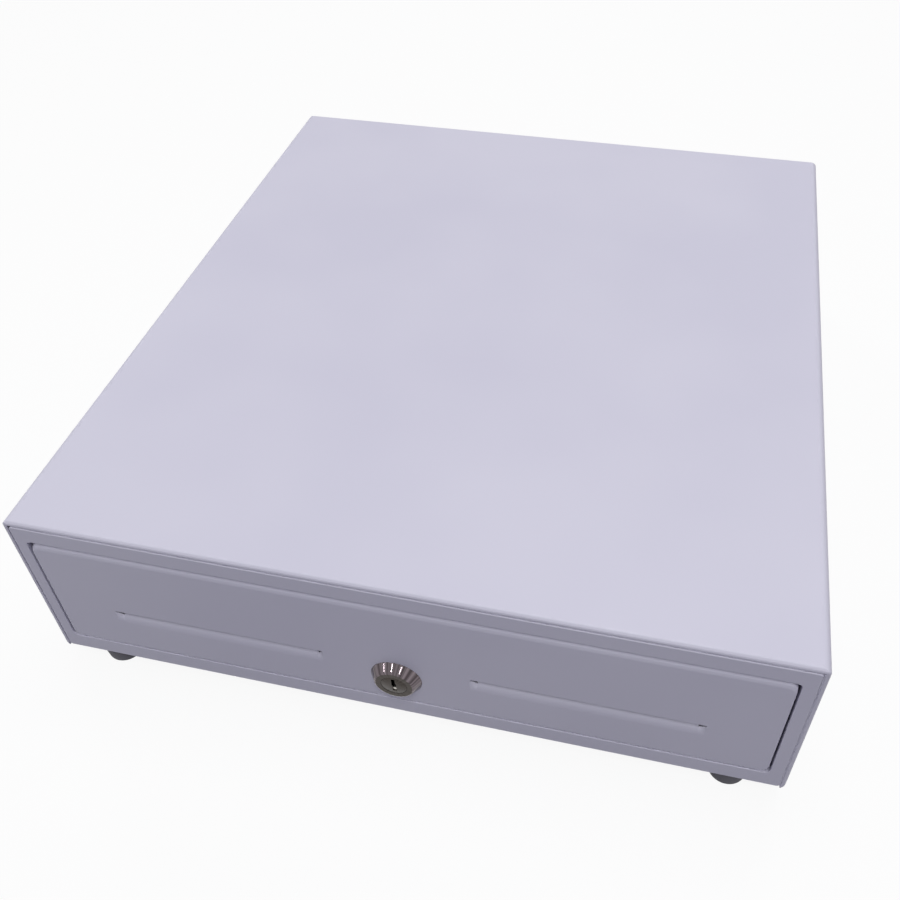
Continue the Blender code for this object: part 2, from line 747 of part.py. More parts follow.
def press_slot(panel, middle):
    """Lances one paper slot: the sheet below the cut is pressed in as a lip that stays held at its ends."""
    half = SLOT_LENGTH / 2
    root = PANEL_LOW + SLOT_RISE
    top = root + SLOT_OPENING
    outline = rounded((middle - half, root), (middle + half, top), SLOT_CORNER, 2)
    panel = cut(panel, prism(outline, "Y", FRONT - FRONT_SHEET, behind(2 * FRONT_SHEET)))
    flush = lip_section(0.0, SLOT_OPENING - LIP_TIP_GAP)
    drawn = lip_section(LIP_END_DEPTH, LIP_END_RISE)
    pressed = lip_section(LIP_DEPTH, LIP_RISE)
    inner = half - LIP_END
    outer = half + LIP_ROOT
    bend = half + LIP_ROOT / 2
    stations = [
        (-outer, flush), (-bend, flush), (-inner, drawn), (LIP_TIP_GAP - inner, pressed),
        (inner - LIP_TIP_GAP, pressed), (inner, drawn), (bend, flush), (outer, flush),
    ]
    lip = skin([lift(section, "X", middle + x) for x, section in stations])
    bmesh.ops.triangulate(lip, faces=lip.faces)  # the drawn ends are twisted
    return join(panel, lip)


def make_drawer_box(look, carrier):
    inner = BOX_X - BOX_SHEET
    start = FRONT_SHEET + SEAT
    above = BOX_HIGH + BOX_SHEET
    body = block((-BOX_X, behind(start), BOX_LOW), (BOX_X, behind(BOX_REAR), BOX_HIGH))
    floor = BOX_LOW + BOX_SHEET
    near, far = behind(BOX_FRONT + BOX_SHEET), behind(BOX_REAR - BOX_SHEET)
    cavity = block((-inner, near, floor), (inner, far, above))
    nook = block((-inner, behind(0), BOX_LOW - BOX_SHEET), (inner, behind(BOX_FRONT), above))
    mouth = block(
        (-inner, behind(BOX_FRONT - BOX_SHEET), BOX_LOW + BOX_FRONT_LIP),
        (inner, behind(BOX_FRONT + 2 * BOX_SHEET), above),
    )
    heel = block((-HALF, FRONT, 0), (HALF, behind(FRONT_BEND + SEAT), PANEL_LOW + FRONT_BEND + SEAT))
    body = cut(body, cavity, nook, mouth, heel)
    for side in (-1, 1):
        xs = sorted((side * (BOX_X - BOX_TAB), side * (inner + BOX_SHEET / 2)))
        tab = block(
            (xs[0], behind(start), BOX_LOW + BOX_TAB_RISE),
            (xs[1], behind(start + BOX_SHEET), BOX_HIGH - BOX_TAB_RISE),
        )
        body = join(body, tab)
    finish("drawer_box", body, look, (0, FRONT, BOX_LOW), carrier)


def tub(low, high, floor, top, corner, foot):
    """A cutter with a rounded floor and upright sides."""
    loops = []
    for angle in (0, 30, 60, 90):
        turn = math.radians(angle)
        edge = shrunk(low, high, foot * (1 - math.sin(turn)), corner + foot)
        loops.append(lift(edge, "Z", floor + foot * (1 - math.cos(turn))))
    loops.append(lift(shrunk(low, high, 0, corner + foot), "Z", top))
    return skin(loops)


def make_till(look, carrier):
    low, high = (-TILL_X, behind(TILL_FRONT)), (TILL_X, behind(TILL_REAR))
    rim_top = TILL_TOP + TILL_RIM_THICK
    loops = [
        lift(shrunk(low, high, TILL_DRAFT, TILL_CORNER), "Z", TILL_LOW),
        lift(shrunk(low, high, 0, TILL_CORNER), "Z", TILL_TOP),
        lift(shrunk(low, high, -TILL_RIM, TILL_CORNER), "Z", TILL_TOP),
        lift(shrunk(low, high, -TILL_RIM, TILL_CORNER), "Z", rim_top - TILL_RIM_THICK / 3),
        lift(shrunk(low, high, -TILL_RIM * 0.7, TILL_CORNER), "Z", rim_top),
    ]
    tray = skin(loops)
    over = rim_top + TILL_WALL
    well = block((-WELL_X, behind(WELL_FRONT), TILL_FLOOR), (WELL_X, behind(WELL_REAR), over))
    tray = cut(tray, well)
    width = BILL_PITCH - TILL_DIVIDER
    for k in range(BILL_COUNT):
        left = -WELL_X + k * BILL_PITCH
        corner_low = (left, behind(BILL_FRONT))
        corner_high = (left + width, behind(BILL_REAR))
        tray = cut(tray, tub(corner_low, corner_high, TILL_FLOOR, over, TILL_DIVIDER, BILL_ROUND))
    for k in range(BILL_COUNT):
        middle = -WELL_X + k * BILL_PITCH + width / 2
        centre = (middle, rim_top - NOTCH_DEPTH + NOTCH_RADIUS)
        notch = arc(centre, NOTCH_RADIUS, 180, 360, 10)
        outline = [(middle + NOTCH_RADIUS, over), (middle - NOTCH_RADIUS, over)] + notch[1:-1]
        tray = cut(tray, prism(outline, "Y", behind(WELL_REAR - TILL_WALL), behind(BILL_FRONT + TILL_WALL)))
    grip = ROD_RADIUS + SEAT
    bed = arc((behind(ROD_BACK), ROD_Z), grip, 180, 360, 8)
    groove = [(behind(ROD_BACK) + grip, over), (behind(ROD_BACK) - grip, over)] + bed
    tray = cut(tray, prism(groove, "X", -WELL_X - ROD_SOCKET, WELL_X + ROD_SOCKET))
    finish("till_tray", tray, look, (0, behind(TILL_FRONT), TILL_LOW), carrier)


def make_coin_cups(look, carrier):
    pitch = (2 * WELL_X - CUP_GAP) / COIN_COUNT
    wide = pitch - CUP_GAP
    long = COIN_LENGTH - 2 * CUP_GAP
    low, high = (-wide / 2, -long / 2), (wide / 2, long / 2)
    edge = 2 * CUP_WALL
    loops = [
        lift(shrunk(low, high, CUP_WALL, edge, 2), "Z", 0),
        lift(shrunk(low, high, 0, edge, 2), "Z", CUP_WALL),
        lift(shrunk(low, high, 0, edge, 2), "Z", CUP_HEIGHT),
    ]
    cup = skin(loops)
    reach = long / 2 - CUP_WALL
    over = CUP_HEIGHT + CUP_WALL
    scoop = [(reach, over), (-reach, over)]
    scoop += arc((-reach + CUP_SCOOP, CUP_WALL + CUP_SCOOP), CUP_SCOOP, 180, 270, 6)
    scoop += arc((reach - CUP_SCOOP, CUP_WALL + CUP_SCOOP), CUP_SCOOP, 270, 360, 6)
    half = wide / 2 - CUP_WALL
    cup = cut(cup, prism(scoop, "X", -half, half))
    first = finish("coin_cup_1", cup, look, (0, 0, 0), carrier)
    y = behind((WELL_FRONT + WELL_REAR) / 2)
    for k in range(COIN_COUNT):
        x = -WELL_X + CUP_GAP + wide / 2 + k * pitch
        cup = first if k == 0 else put(f"coin_cup_{k + 1}", first.data, look, (0, 0, 0), carrier)
        cup.location = Vector((x, y, TILL_FLOOR + SEAT)) - carrier.location


def make_clips(steel, spring_steel, carrier):
    """The rod across the till, and the sprung clips that hold the notes down."""
    rod_y = behind(ROD_BACK)
    reach = WELL_X + ROD_SOCKET - SEAT
    chamfer = ROD_RADIUS / 5
    profile = [
        (ROD_RADIUS - chamfer, -reach), (ROD_RADIUS, chamfer - reach),
        (ROD_RADIUS, reach - chamfer), (ROD_RADIUS - chamfer, reach),
    ]
    finish("clip_rod", turned(profile, (0, rod_y, ROD_Z), "X", 16), steel, (0, rod_y, ROD_Z), carrier)
    clip_mesh = None
    spring = None
    width = BILL_PITCH - TILL_DIVIDER
    for k in range(BILL_COUNT):
        place = (-WELL_X + k * BILL_PITCH + width / 2, rod_y, ROD_Z)
        if clip_mesh is None:
            clip = finish(f"bill_clip_{k + 1}", clip_shape(), steel, (0, 0, 0))
            clip.location = place
            clip_mesh = clip.data
            spring = clip_spring()
        else:
            put(f"bill_clip_{k + 1}", clip_mesh, steel, place)
        put(f"clip_spring_{k + 1}", spring, spring_steel, place)


def clip_line():
    """Middle line of a clip's arm in (y, z): from the rod down to the heel on the till's floor, then up."""
    floor = TILL_FLOOR - ROD_Z + CLIP_FLOOR_GAP + CLIP_SHEET / 2
    return [
        (0.0, KNUCKLE_RADIUS - CLIP_SHEET / 2),
        (-CLIP_HEEL, floor),
        (-CLIP_HEEL - CLIP_TOE, floor + CLIP_TOE_RISE),
    ]


def clip_shape():
    half = CLIP_WIDTH / 2
    arm = prism(strip(clip_line(), CLIP_SHEET), "X", -half, half)
    knuckle = turned([(KNUCKLE_RADIUS, -half * 0.999), (KNUCKLE_RADIUS, half * 0.999)], (0, 0, 0), "X", 18)
    bore_radius = ROD_RADIUS + SEAT
    bore = turned([(bore_radius, -CLIP_WIDTH), (bore_radius, CLIP_WIDTH)], (0, 0, 0), "X", 16)
    gap = half - KNUCKLE_WIDTH
    clear = 2 * KNUCKLE_RADIUS
    notch = block((-gap, -KNUCKLE_NOTCH, -clear), (gap, clear, clear))
    return cut(join(arm, knuckle), bore, notch)


def clip_spring():
    """A torsion spring on the rod: one leg lies on the clip's arm, the other reaches back."""
    room = CLIP_WIDTH - 2 * KNUCKLE_WIDTH - 2 * SEAT - CLIP_SPRING_WIRE
    pitch = (room - SEAT) / CLIP_SPRING_TURNS
    start = -pitch * CLIP_SPRING_TURNS / 2
    line = clip_line()
    way = (Vector(line[1]) - Vector(line[0])).normalized()
    lift_way = Vector((-way.y, way.x))
    if lift_way.y < 0:
        lift_way = -lift_way
    out = Vector((0, lift_way.x, lift_way.y))
    ahead = Vector((0, way.x, way.y))
    turns = helix(CLIP_SPRING_RADIUS, pitch, CLIP_SPRING_TURNS, (start, 0, 0), (1, 0, 0), out)
    rest = Vector(line[0]).dot(lift_way) + CLIP_SHEET / 2 + SEAT + CLIP_SPRING_WIRE / 2
    rise = rest - CLIP_SPRING_RADIUS
    front_leg = []
    for share in (1.0, 0.75, 0.5, 0.3, 0.15):
        climb = min(1.0, share / 0.45) * rise
        front_leg.append(turns[0] + ahead * (CLIP_SPRING_LEG * share) + out * climb)
    tail_start = turns[-1]
    rear_leg = [
        tail_start + Vector((0, (CLIP_SPRING_TAIL - tail_start.y) * share, 0)) for share in (0.25, 0.6, 1.0)
    ]
    points = front_leg + turns + rear_leg
    print(f"clip spring's least gap to itself: {least_gap(turns, CLIP_SPRING_WIRE, 9) * 1000:.2f} mm")
    return wire("clip_spring", points, CLIP_SPRING_WIRE)


# The runners


def make_runners(steel, nylon, pin_steel, drawer):
    rail_inside = RAIL_X - RUNNER_SHEET
    half_track = TRACK + RUNNER_SHEET
    rail_end = behind(BOX_REAR + RAIL_OVERRUN)
    slide_start = behind(FRONT_RETURN + ROLLER_END_GAP)
    leg_x = BOX_X + SEAT + RUNNER_SHEET
    front_roller_x = leg_x + RUN + AXLE_HEAD + SEAT + ROLLER_WIDTH / 2
    rear_roller_x = (RAIL_INNER + rail_inside) / 2
    for name, side in (("left", -1), ("right", 1)):
        channel = [
            (RAIL_INNER, RAIL_Z - half_track), (RAIL_X, RAIL_Z - half_track),
            (RAIL_X, RAIL_Z + half_track), (RAIL_INNER, RAIL_Z + half_track),
            (RAIL_INNER, RAIL_Z + TRACK), (rail_inside, RAIL_Z + TRACK),
            (rail_inside, RAIL_Z - TRACK), (RAIL_INNER, RAIL_Z - TRACK),
        ]
        outline = [(side * x, z) for x, z in channel]
        rail = prism(outline, "Y", behind(RAIL_START), rail_end)
        finish(f"case_rail_{name}", rail, steel, (side * RAIL_X, behind(RAIL_START), RAIL_Z))
        angle = [
            (BOX_X + SEAT, RAIL_Z - SLIDE_LEG), (leg_x, RAIL_Z - SLIDE_LEG),
            (leg_x, RAIL_Z + TRACK), (SLIDE_X, RAIL_Z + TRACK),
            (SLIDE_X, RAIL_Z + half_track), (BOX_X + SEAT, RAIL_Z + half_track),
        ]
        outline = [(side * x, z) for x, z in angle]
        slide = prism(outline, "Y", slide_start, behind(BOX_REAR))
        finish(f"drawer_slide_{name}", slide, steel, (side * BOX_X, slide_start, RAIL_Z), drawer)
        front = (0, behind(FRONT_AXLE), RAIL_Z)
        rear = (0, behind(REAR_AXLE), RAIL_Z)
        reach = front_roller_x - ROLLER_WIDTH / 2
        axle = headed_axle(rail_inside - SEAT, reach - SEAT, front, side)
        finish(f"front_axle_{name}", axle, pin_steel, (side * rail_inside, front[1], RAIL_Z))
        reach = rear_roller_x + ROLLER_WIDTH / 2
        axle = headed_axle(leg_x + SEAT, reach + SEAT, rear, side)
        finish(f"rear_axle_{name}", axle, pin_steel, (side * leg_x, rear[1], RAIL_Z), drawer)
        for end, x, place in (("front", front_roller_x, front), ("rear", rear_roller_x, rear)):
            middle = (side * x, place[1], RAIL_Z)
            finish(f"{end}_roller_{name}", roller(middle), nylon, middle)


def headed_axle(foot, tip, centre, side):
    """A pin along X from its riveted foot to the head that keeps its roller on."""
    way = 1 if tip > foot else -1
    profile = [
        (AXLE_HEAD_RADIUS, foot), (AXLE_HEAD_RADIUS, foot + way * AXLE_HEAD),
        (AXLE_RADIUS, foot + way * AXLE_HEAD), (AXLE_RADIUS, tip),
        (AXLE_HEAD_RADIUS, tip), (AXLE_HEAD_RADIUS * 0.8, tip + way * AXLE_HEAD),
    ]
    return turned([(radius, side * along) for radius, along in profile], centre, "X", 16)


def roller(middle):
    """A nylon roller with a crowned tread, a sunk web and a plain bore."""
    half = ROLLER_WIDTH / 2
    bore = AXLE_RADIUS + ROLLER_BORE_GAP
    hub = AXLE_RADIUS + 3 * ROLLER_BORE_GAP
    rim = ROLLER_RADIUS - half / 2
    web = half / 2
    crown = half / 5
    side = [(bore, half), (hub, half), (hub, web), (rim, web), (rim, half), (ROLLER_RADIUS - crown, half)]
    tread = [(ROLLER_RADIUS, half - crown), (ROLLER_RADIUS, crown - half)]
    other = [(radius, -along) for radius, along in reversed(side)]
    return turned(side + tread + other, middle, "X", 20, ring=True)


# The lock


def make_lock(chrome, steel, zinc, drawer, plug):
    centre = (0, FRONT, LOCK_Z)
    proud = -LOCK_PROUD
    bore = PLUG_RADIUS + SEAT
    bevel = (LOCK_FACE_RADIUS - bore) / 4
    barrel = [
        (LOCK_BEZEL_RADIUS, -SEAT),
        (LOCK_BEZEL_RADIUS, proud * 0.18),
        (LOCK_FACE_RADIUS + bevel, proud * 0.86),
        (LOCK_FACE_RADIUS, proud * 0.97),
        (LOCK_FACE_RADIUS - bevel, proud),
        (bore + bevel / 2, proud),
        (bore, proud + bevel / 2),
        (bore, LOCK_LENGTH),
        (LOCK_BARREL_RADIUS, LOCK_LENGTH),
        (LOCK_BARREL_RADIUS, -SEAT),
    ]
    finish("lock_barrel", turned(barrel, centre, "Y", 32, ring=True), chrome, centre, drawer)
    near = behind(FRONT_SHEET + SEAT)
    far = near + LOCK_NUT_THICK
    nut = hex_nut(LOCK_NUT_FLAT, LOCK_BARREL_RADIUS + SEAT, (0, LOCK_Z), "Y", near, far)
    finish("lock_nut", nut, steel, centre, drawer)
    face = proud + PLUG_SINK
    edge = PLUG_SINK / 2
    cam_start = LOCK_LENGTH + 2 * SEAT
    nut_low = cam_start + CAM_THICK + SEAT
    stub_end = nut_low + CAM_NUT_THICK + 2 * SEAT
    core = [
        (PLUG_RADIUS - edge, face), (PLUG_RADIUS, face + edge), (PLUG_RADIUS, LOCK_LENGTH + SEAT),
        (PLUG_STUB_RADIUS, LOCK_LENGTH + SEAT), (PLUG_STUB_RADIUS, stub_end),
    ]
    keyway = []
    for way in (-1, 1):
        middle = -way * KEYWAY_STEP / 2
        levels = sorted((-way * KEYWAY_WIDTH / 2, way * KEYWAY_HEIGHT / 2))
        keyway.append(block(
            (middle - KEYWAY_WIDTH / 2, behind(2 * proud), LOCK_Z + levels[0]),
            (middle + KEYWAY_WIDTH / 2, behind(face + KEYWAY_DEPTH), LOCK_Z + levels[1]),
        ))
    finish("lock_plug", cut(turned(core, centre, "Y", 24), *keyway), zinc, centre, plug)
    round_end = CAM_WIDTH / 2
    outline = arc((0, LOCK_Z), round_end, 90, 270, 8)
    outline += arc((CAM_REACH - round_end / 2, LOCK_Z - round_end / 2), round_end / 2, 270, 360, 3)
    outline += arc((CAM_REACH - round_end / 2, LOCK_Z + round_end / 2), round_end / 2, 0, 90, 3)
    lever = prism(outline, "Y", behind(cam_start), behind(cam_start + CAM_THICK))
    hole = PLUG_STUB_RADIUS + SEAT
    bore_tool = turned([(hole, cam_start - CAM_THICK), (hole, cam_start + 2 * CAM_THICK)], centre, "Y", 16)
    finish("lock_cam", cut(lever, bore_tool), steel, centre, plug)
    near = behind(nut_low)
    cam_nut = hex_nut(CAM_NUT_FLAT, hole, (0, LOCK_Z), "Y", near, near + CAM_NUT_THICK)
    finish("cam_nut", cam_nut, steel, centre, plug)
    back = cam_start - 2 * SEAT
    angle = [
        (back - KEEPER_FOOT, 0), (back, 0), (back, KEEPER_HEIGHT), (back - KEEPER_SHEET, KEEPER_HEIGHT),
        (back - KEEPER_SHEET, KEEPER_SHEET), (back - KEEPER_FOOT, KEEPER_SHEET),
    ]
    outline = [(behind(y), PLATE_LOW + z) for y, z in angle]
    keeper = prism(outline, "X", -KEEPER_WIDTH / 2, KEEPER_WIDTH / 2)
    finish("lock_keeper", keeper, steel, (0, behind(back), PLATE_LOW))


# The catch


def make_catch(zinc, steel, copper, spring_steel, black, drawer):
    rear = BOX_REAR
    plate_low = (-PLATE_LEFT, behind(rear + PLATE_FRONT), PLATE_LOW)
    plate_end = behind(rear + PLATE_FRONT + PLATE_DEPTH)
    plate = block(plate_low, (PLATE_RIGHT, plate_end, PLATE_TOP))
    ear = block(
        (EAR_X - EAR_WIDTH / 2, plate_end - PLATE_SHEET, PLATE_LOW + PLATE_SHEET / 2),
        (EAR_X + EAR_WIDTH / 2, plate_end, PLATE_TOP + EAR_HEIGHT),
    )
    tab_x = HOOK_X - HOOK_SPRING_RADIUS - HOOK_SPRING_WIRE / 2 - SEAT
    tab_y = behind(rear + HOOK_SETBACK + TAB_SETBACK)
    tab = block(
        (tab_x - TAB_WIDTH, tab_y, PLATE_LOW + PLATE_SHEET / 2),
        (tab_x, tab_y + TAB_SHEET, HOOK_Z + TAB_TOP),
    )
    finish("catch_plate", join(plate, ear, tab), zinc, plate_low)
    make_strike(zinc, drawer)
    make_hook(zinc, steel, spring_steel)
    make_solenoid(zinc, steel, copper)
    make_ejector(steel, spring_steel, plate_end)
    make_switch(black, spring_steel)


def make_strike(look, drawer):
    """A bracket on the drawer's back that holds an upright pin for the hook."""
    wall = behind(BOX_REAR + SEAT)
    low = HOOK_Z - STRIKE_GAP / 2 - STRIKE_SHEET
    high = HOOK_Z + STRIKE_GAP / 2 + STRIKE_SHEET
    half = STRIKE_WIDTH / 2
    end = wall + STRIKE_REACH
    ears = [
        (wall, low), (end, low), (end, low + STRIKE_SHEET), (wall + STRIKE_SHEET, low + STRIKE_SHEET),
        (wall + STRIKE_SHEET, high - STRIKE_SHEET), (end, high - STRIKE_SHEET), (end, high), (wall, high),
    ]
    bracket = prism(ears, "X", -half, half)
    spot = (0, behind(BOX_REAR + STRIKE_PIN_SETBACK), HOOK_Z)
    inside = STRIKE_GAP / 2 + STRIKE_SHEET / 2
    pin = turned([(STRIKE_PIN_RADIUS, -inside), (STRIKE_PIN_RADIUS, inside)], spot, "Z", 14)
    finish("latch_strike", join(bracket, pin), look, (0, wall, HOOK_Z), drawer)


def make_hook(look, steel, spring_steel):
    """The hook that swings beside the strike's pin, on its post, drawn swung clear of the pin."""
    pivot = Vector((HOOK_X, behind(BOX_REAR + HOOK_SETBACK), 0))
    pin_front = STRIKE_PIN_SETBACK - STRIKE_PIN_RADIUS - HOOK_SETBACK - HOOK_CLEAR
    nose_front = pin_front - HOOK_NOSE
    shank_left = STRIKE_PIN_RADIUS + 3 * HOOK_CLEAR - HOOK_X
    shank_right = shank_left + HOOK_NOSE * HOOK_SHANK
    nose_tip = -HOOK_X - STRIKE_PIN_RADIUS * 0.8
    hub = POST_SHOULDER_RADIUS * HOOK_HUB
    tail = HOOK_TAIL + POST_SHOULDER_RADIUS
    outline = [(nose_tip, pin_front), (nose_tip, nose_front + HOOK_NOSE / 2), (shank_left, nose_front)]
    outline += [(shank_right, nose_front), (shank_right, -hub)]
    outline += arc((0, 0), hub, -50, 50, 5)
    wide, narrow, shoulder = hub * 0.7, hub * 0.5, tail - hub * 0.3
    outline += [(wide, shoulder), (narrow, tail), (-narrow, tail), (-wide, shoulder)]
    outline += arc((0, 0), hub, 130, 230, 5)
    outline += [(shank_left, -hub), (shank_left, pin_front)]
    low, high = HOOK_Z - HOOK_SHEET / 2, HOOK_Z + HOOK_SHEET / 2
    hook = prism(outline, "Z", low, high)
    over = HOOK_SHEET
    bore = [(POST_RADIUS + SEAT, low - over), (POST_RADIUS + SEAT, high + over)]
    hook = cut(hook, turned(bore, (0, 0, 0), "Z", 16))
    slot_half = PLUNGER_PIN_RADIUS + RUN
    slot_long = slot_half + RUN
    near, far = HOOK_TAIL - slot_long, HOOK_TAIL + slot_long
    slot = rounded((-slot_half, near), (slot_half, far), slot_half * 0.95)
    hook = cut(hook, prism(slot, "Z", low - over, high + over))
    turn = Matrix.Rotation(math.radians(HOOK_OPEN_ANGLE), 4, "Z")
    bmesh.ops.transform(hook, matrix=Matrix.Translation(pivot) @ turn, verts=hook.verts)
    place = (pivot.x, pivot.y, HOOK_Z)
    finish("latch_hook", hook, look, place)
    post = [
        (POST_SHOULDER_RADIUS, PLATE_TOP + SEAT),
        (POST_SHOULDER_RADIUS, low - SEAT),
        (POST_RADIUS, low - SEAT),
        (POST_RADIUS, high + POST_TOP - POST_HEAD),
        (POST_HEAD_RADIUS, high + POST_TOP - POST_HEAD),
        (POST_HEAD_RADIUS * 0.8, high + POST_TOP),
    ]
    finish("latch_post", turned(post, (pivot.x, pivot.y, 0), "Z", 20), steel, (pivot.x, pivot.y, PLATE_TOP))
    start = Vector((0, 0, high - HOOK_Z + SEAT + HOOK_SPRING_WIRE / 2))
    coil = helix(HOOK_SPRING_RADIUS, HOOK_SPRING_PITCH, HOOK_SPRING_TURNS, start, UP, (-1, 0, 0), hand=-1)
    along_hook = turn.to_3x3() @ Vector((0, -HOOK_SPRING_LEG, 0))
    low_leg = [coil[0] + along_hook * share for share in (1.0, 0.6, 0.25)]
    high_leg = [coil[-1] + Vector((0, TAB_SETBACK + TAB_SHEET, 0)) * share for share in (0.25, 0.6, 1.0)]
    print(f"latch spring's least gap to itself: {least_gap(coil, HOOK_SPRING_WIRE, 9) * 1000:.2f} mm")
    spring = wire("latch_spring", low_leg + coil + high_leg, HOOK_SPRING_WIRE)
    put("latch_spring", spring, spring_steel, place)


def make_solenoid(zinc, steel, copper):
    axis = (0, behind(PLUNGER_BACK), HOOK_Z)
    near = -YOKE_END
    far = near - COIL_LENGTH - 2 * SEAT - 2 * YOKE_SHEET
    half = YOKE_DEPTH / 2
    base = PLATE_TOP + SEAT
    crown = HOOK_Z + YOKE_CROWN
    section = [
        (far, crown), (far, base), (near, base), (near, crown),
        (near - YOKE_SHEET, crown), (near - YOKE_SHEET, base + YOKE_SHEET),
        (far + YOKE_SHEET, base + YOKE_SHEET), (far + YOKE_SHEET, crown),
    ]
    yoke = prism(section, "Y", axis[1] - half, axis[1] + half)
    hole = PLUNGER_RADIUS + RUN
    way = turned([(hole, near - 2 * YOKE_SHEET), (hole, near + YOKE_SHEET)], axis, "X", 16)
    finish("solenoid_yoke", cut(yoke, way), zinc, (near, axis[1], base))
    coil_end = near - YOKE_SHEET - SEAT
    coil_start = coil_end - COIL_LENGTH
    spool = [
        (hole, coil_start), (COIL_FLANGE_RADIUS, coil_start),
        (COIL_FLANGE_RADIUS, coil_start + COIL_FLANGE), (COIL_RADIUS, coil_start + COIL_FLANGE),
        (COIL_RADIUS, coil_end - COIL_FLANGE), (COIL_FLANGE_RADIUS, coil_end - COIL_FLANGE),
        (COIL_FLANGE_RADIUS, coil_end), (hole, coil_end),
    ]
    finish("solenoid_coil", turned(spool, axis, "X", 24, ring=True), copper, (coil_start, axis[1], HOOK_Z))
    pin_x = HOOK_X - HOOK_SLACK
    rod_end = near + PLUNGER_OUT - HOOK_SLACK
    rod = turned([(PLUNGER_RADIUS, coil_start + 2 * COIL_FLANGE), (PLUNGER_RADIUS, rod_end)], axis, "X", 20)
    over = HOOK_Z + HOOK_SHEET / 2 + RUN
    wide = PLUNGER_RADIUS * 0.85
    tongue = block(
        (rod_end - PLUNGER_RADIUS, axis[1] - wide, over),
        (pin_x + PLUNGER_RADIUS, axis[1] + wide, over + PLUNGER_TONGUE),
    )
    pin = turned(
        [(PLUNGER_PIN_RADIUS, HOOK_Z - HOOK_SHEET), (PLUNGER_PIN_RADIUS, over + PLUNGER_TONGUE / 2)],
        (pin_x, axis[1], 0), "Z", 12,
    )
    finish("solenoid_plunger", join(rod, tongue, pin), steel, (near, axis[1], HOOK_Z))


def make_ejector(steel, spring_steel, plate_end):
    """The spring that pushes the drawer out, on its guide, drawn as the closed drawer squeezes it."""
    foot = plate_end - PLATE_SHEET - SEAT
    centre = (EAR_X, foot, GUIDE_Z)
    guide = [
        (GUIDE_SEAT_RADIUS, 0), (GUIDE_SEAT_RADIUS, -GUIDE_SEAT), (GUIDE_RADIUS, -GUIDE_SEAT),
        (GUIDE_RADIUS, GUIDE_RADIUS / 2 - GUIDE_LENGTH), (GUIDE_RADIUS / 2, -GUIDE_LENGTH),
    ]
    finish("eject_guide", turned(guide, centre, "Y", 18), steel, centre)
    start = foot - GUIDE_SEAT - SEAT - EJECT_WIRE / 2
    stop = behind(BOX_REAR) + SEAT + EJECT_WIRE / 2
    pitch = (start - stop) / EJECT_TURNS
    coil = helix(EJECT_RADIUS, pitch, EJECT_TURNS, (0, start - foot, 0), (0, -1, 0), (0, 0, 1))
    print(f"eject spring's least gap to itself: {least_gap(coil, EJECT_WIRE, 9) * 1000:.2f} mm")
    put("eject_spring", wire("eject_spring", coil, EJECT_WIRE), spring_steel, centre)


def make_switch(black, spring_steel):
    """The switch that senses the closed drawer, with its blade pressed by the drawer's back."""
    wide, deep, tall = SWITCH_SIZE
    front = behind(BOX_REAR + SWITCH_SETBACK + PLATE_FRONT)
    low = PLATE_TOP + SEAT
    outline = rounded((-SWITCH_X - wide / 2, front), (-SWITCH_X + wide / 2, front + deep), deep / 10, 2)
    finish("drawer_switch", prism(outline, "Z", low, low + tall), black, (-SWITCH_X, front, low))
    touch = behind(BOX_REAR) + SEAT + BLADE_SHEET / 2
    root = front - SEAT - BLADE_SHEET / 2
    line = [
        (-SWITCH_X + wide / 2, root), (-SWITCH_X + wide / 4, root),
        (-SWITCH_X - wide * 0.3, touch), (-SWITCH_X - wide / 2, touch + 2 * BLADE_SHEET),
    ]
    middle = BOX_LOW + tall / 4
    blade = prism(strip(line, BLADE_SHEET), "Z", middle - BLADE_WIDTH / 2, middle + BLADE_WIDTH / 2)
    finish("switch_blade", blade, spring_steel, (-SWITCH_X, root, middle))


def make_socket(black, lead_black):
    """The socket for the printer's lead in the rear panel, and the wire from it to the coil."""
    x, z = SOCKET_X, SOCKET_Z
    wide, tall = SOCKET_WIDTH / 2, SOCKET_HEIGHT / 2
    outer = behind(CASE_DEPTH - REAR_RECESS) + SEAT
    bezel_end = outer + SOCKET_BEZEL_THICK
    nose = outer - SOCKET_DEPTH
    body = block((x - wide, nose, z - tall), (x + wide, outer + SOCKET_BEZEL_THICK / 2, z + tall))
    rim = SOCKET_BEZEL
    bezel = block((x - wide - rim, outer, z - tall - rim), (x + wide + rim, bezel_end, z + tall + rim))
    well_wide = wide - SOCKET_WALL
    well_floor = bezel_end - SOCKET_WELL
    over = bezel_end + SOCKET_WALL
    well = block((x - well_wide, well_floor, z - tall / 2), (x + well_wide, over, z + tall - SOCKET_WALL))
    key = block((x - wide / 3, well_floor, z - tall + SOCKET_WALL), (x + wide / 3, over, z - tall / 3))
    finish("lead_socket", cut(join(body, bezel), well, key), black, (x, outer, z))
    far = -YOKE_END - COIL_LENGTH - 2 * SEAT - 2 * YOKE_SHEET
    end = Vector((far - SEAT, behind(PLUNGER_BACK), HOOK_Z))
    start = Vector((x, nose - SEAT, z))
    knots = [
        start,
        start + Vector((0, -LEAD_STRAIGHT, 0)),
        start + Vector(LEAD_BEND),
        end + Vector(LEAD_RUN),
        end + Vector((-LEAD_STRAIGHT, 0, 0)),
        end,
    ]
    points = smooth_route(knots, 4)
    lead = wire("coil_lead", [point - start for point in points], 2 * LEAD_RADIUS, 2)
    put("coil_lead", lead, lead_black, start)


